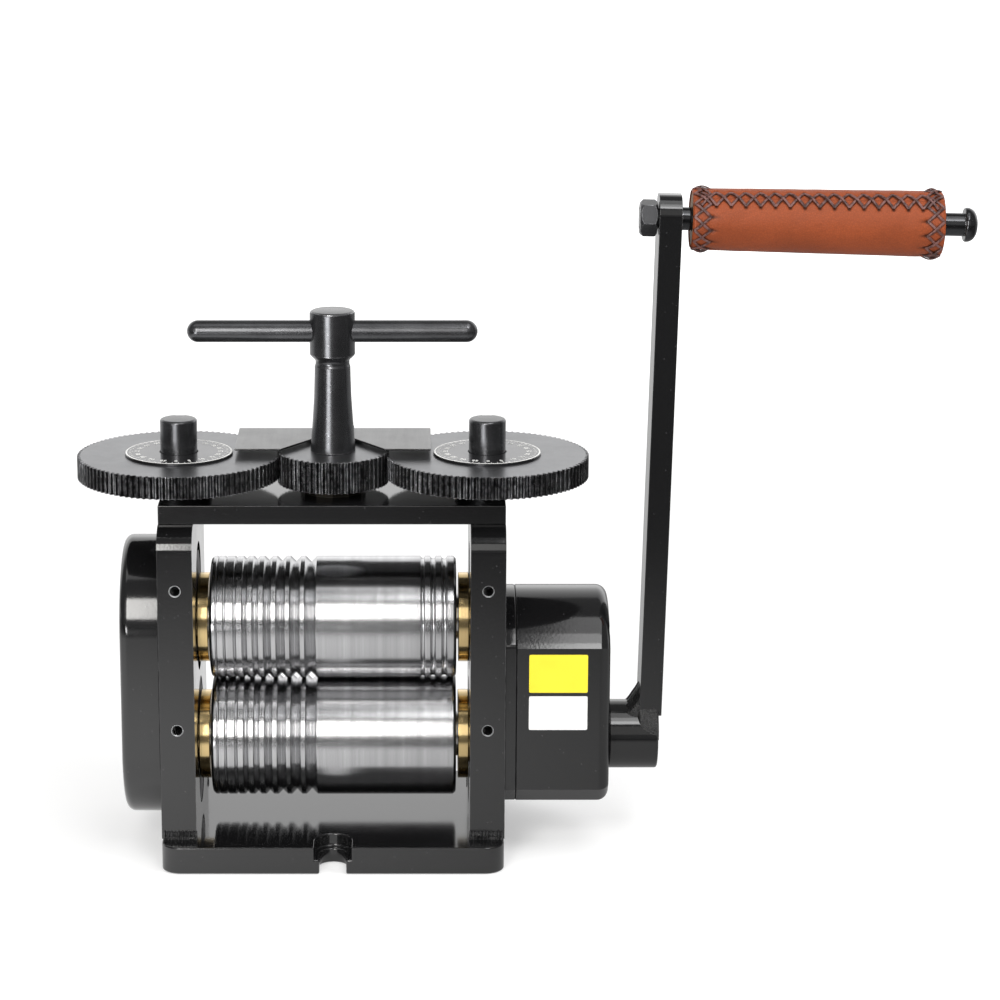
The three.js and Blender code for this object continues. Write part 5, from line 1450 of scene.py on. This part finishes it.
def floor_material():
    """A pale floor. Reflected in metal it darkens towards the front and the sides, but for a bright strip."""
    material = bpy.data.materials.new("pale_floor")
    tree = blank_tree(material)
    place = tree("TexCoord")["Object"]
    ahead = tree("SeparateXYZ", place)
    x, y = ahead["X"], ahead["Y"]
    path = tree("LightPath")
    glossy = path["Is Glossy Ray"]
    far = tree.span(tree("VectorMath", place, operation="LENGTH")["Value"], 0.35, 1.1, 0.4, 1.0, True)
    lift = glossy.apply("MAXIMUM", path["Is Transmission Ray"]) * 0.4 + path["Is Camera Ray"] * far
    pale = tree("AddShader", tree("BsdfDiffuse", Color=(0.6, 0.6, 0.6)),
                tree("Emission", Color=(1, 1, 1), Strength=lift))
    keep = tree.span(y, -0.1, -0.43, 1.0, 0.14, True) * tree.span(x, -0.07, 0.12, 1.0, 0.38)
    beside = tree.span(x.apply("ABSOLUTE"), 0.2, 0.5, 0.0, 0.8, True) * tree.span(y, 0.1, 0.3, 1.0, 0.0)
    keep = keep * (1.0 - beside)
    dark = tree("Emission", Color=(0, 0, 0), Strength=0.0)
    floor = tree("MixShader", (1.0 - keep) * glossy, pale, dark)
    slant = x / y
    strip = tree.span(slant, 0.21, 0.29) * tree.span(slant, 0.6, 0.7, 1.0, 0.0) * tree.span(y, -0.47, -0.57)
    bright = tree("Emission", Color=(1, 1, 1), Strength=strip * glossy * 10.5)
    tree("OutputMaterial", Surface=tree("AddShader", floor, bright))
    return material


def studio_world():
    """White to the camera, and to the metal a screen at the back that ends overhead."""
    world = bpy.data.worlds.new("studio")
    tree = blank_tree(world)
    path = tree("LightPath")
    direction = tree("SeparateXYZ", tree("TexCoord")["Generated"])
    height = direction["Z"]
    back = tree.span(direction["Y"], 0.3, 0.6) * tree.span(height, 0.71, 0.76, 1.0, 0.0)
    rise = tree.span(height, -0.05, 0.25, 0.82, 1.4) * tree.span(height, 0.25, 0.7, 1.0, 0.35)
    glossy = path["Is Glossy Ray"].apply("MAXIMUM", path["Is Transmission Ray"])
    level = glossy * (back * rise + 0.18 - 0.75) + 0.75
    level = level.apply("MAXIMUM", path["Is Camera Ray"])
    tree("OutputWorld", Surface=tree("Background", Color=(1, 1, 1), Strength=level))
    return world


class MILL_OT_stage(bpy.types.Operator):
    """Set the camera, the lamps, the pale floor and the white surroundings"""

    bl_idname = "mill.stage"
    bl_label = "Stage"

    def execute(self, context):
        scene = context.scene
        camera = linked("camera", bpy.data.cameras.new("camera"))
        camera.location = (0.02562, -0.96161, 0.35556)
        camera.rotation_euler = (math.radians(75.65), 0, 0)
        camera.data.sensor_width = 36
        camera.data.lens = 115.2
        camera.data.shift_x = 0.084
        camera.data.clip_end = 50
        scene.camera = camera
        scene.view_settings.view_transform = "Standard"
        mesh = bpy.data.meshes.new("floor")
        mesh.from_pydata([(-6, -6, 0), (6, -6, 0), (6, 6, 0), (-6, 6, 0)], [], [(0, 1, 2, 3)])
        mesh.materials.append(floor_material())
        floor = linked("floor", mesh)
        floor.location.z = -0.0002
        scene.world = studio_world()
        for name, low, high, radiance in (
                ("front_far_left", -1.3, -0.55, 1.0), ("front_left", -0.55, -0.16, 12.0),
                ("front_middle", -0.16, 0.12, 1.25), ("front_right", 0.12, 0.95, 0.35)):
            x = (low + high) / 2
            glow(name, (x, -1.35, 0.72), (x, 0, 0.07), (high - low, 0.75), radiance, (1, 0.985, 0.96))
        glow("top_softbox", (-0.43, -0.25, 1.35), (-0.43, 0, 0.1), (0.92, 0.5), 0.9)
        for name, near, back, radiance in (
                ("right_top_front", -1.05, -0.72, 6.5), ("right_top_middle", -0.72, -0.4, 3.4),
                ("right_top_back", -0.4, 0.1, 1.4)):
            y = (near + back) / 2
            glow(name, (0.36, y, 1.2), (0.36, y, 0), (0.48, back - near), radiance)
        key = glow("right_key", (1.15, -0.45, 0.95), (0, 0, 0.05), (0.4, 0.4), 14.0)
        key.visible_glossy = False
        return {"FINISHED"}


class MILL_PT_panel(bpy.types.Panel):
    """Lists the steps that build the mill, and its sizes and colours"""

    bl_idname = "MILL_PT_panel"
    bl_label = "Rolling mill"
    bl_space_type = "VIEW_3D"
    bl_region_type = "UI"
    bl_category = "Mill"

    def draw(self, context):
        column = self.layout.column(align=True)
        for step in STEPS:
            column.operator(step.bl_idname)
        for group in (context.scene.mill_sizes, context.scene.mill_colours):
            box = self.layout.box()
            for label in group.__annotations__:
                box.prop(group, label)


STEPS = (
    MILL_OT_stage, MILL_OT_finishes, MILL_OT_base, MILL_OT_columns, MILL_OT_crown, MILL_OT_covers,
    MILL_OT_screws, MILL_OT_rolls, MILL_OT_dials, MILL_OT_t_handle, MILL_OT_crank, MILL_OT_grip,
    MILL_OT_welds, MILL_OT_stickers,
)
CLASSES = (MillSizes, MillColours, *STEPS, MILL_PT_panel)


def register():
    for item in CLASSES:
        bpy.utils.register_class(item)
    bpy.types.Scene.mill_sizes = bpy.props.PointerProperty(type=MillSizes)
    bpy.types.Scene.mill_colours = bpy.props.PointerProperty(type=MillColours)


def unregister():
    del bpy.types.Scene.mill_colours
    del bpy.types.Scene.mill_sizes
    for item in reversed(CLASSES):
        bpy.utils.unregister_class(item)


def main():
    register()
    for step in STEPS:
        group, label = step.bl_idname.split(".")
        getattr(getattr(bpy.ops, group), label)()


if __name__ == "__main__":
    main()
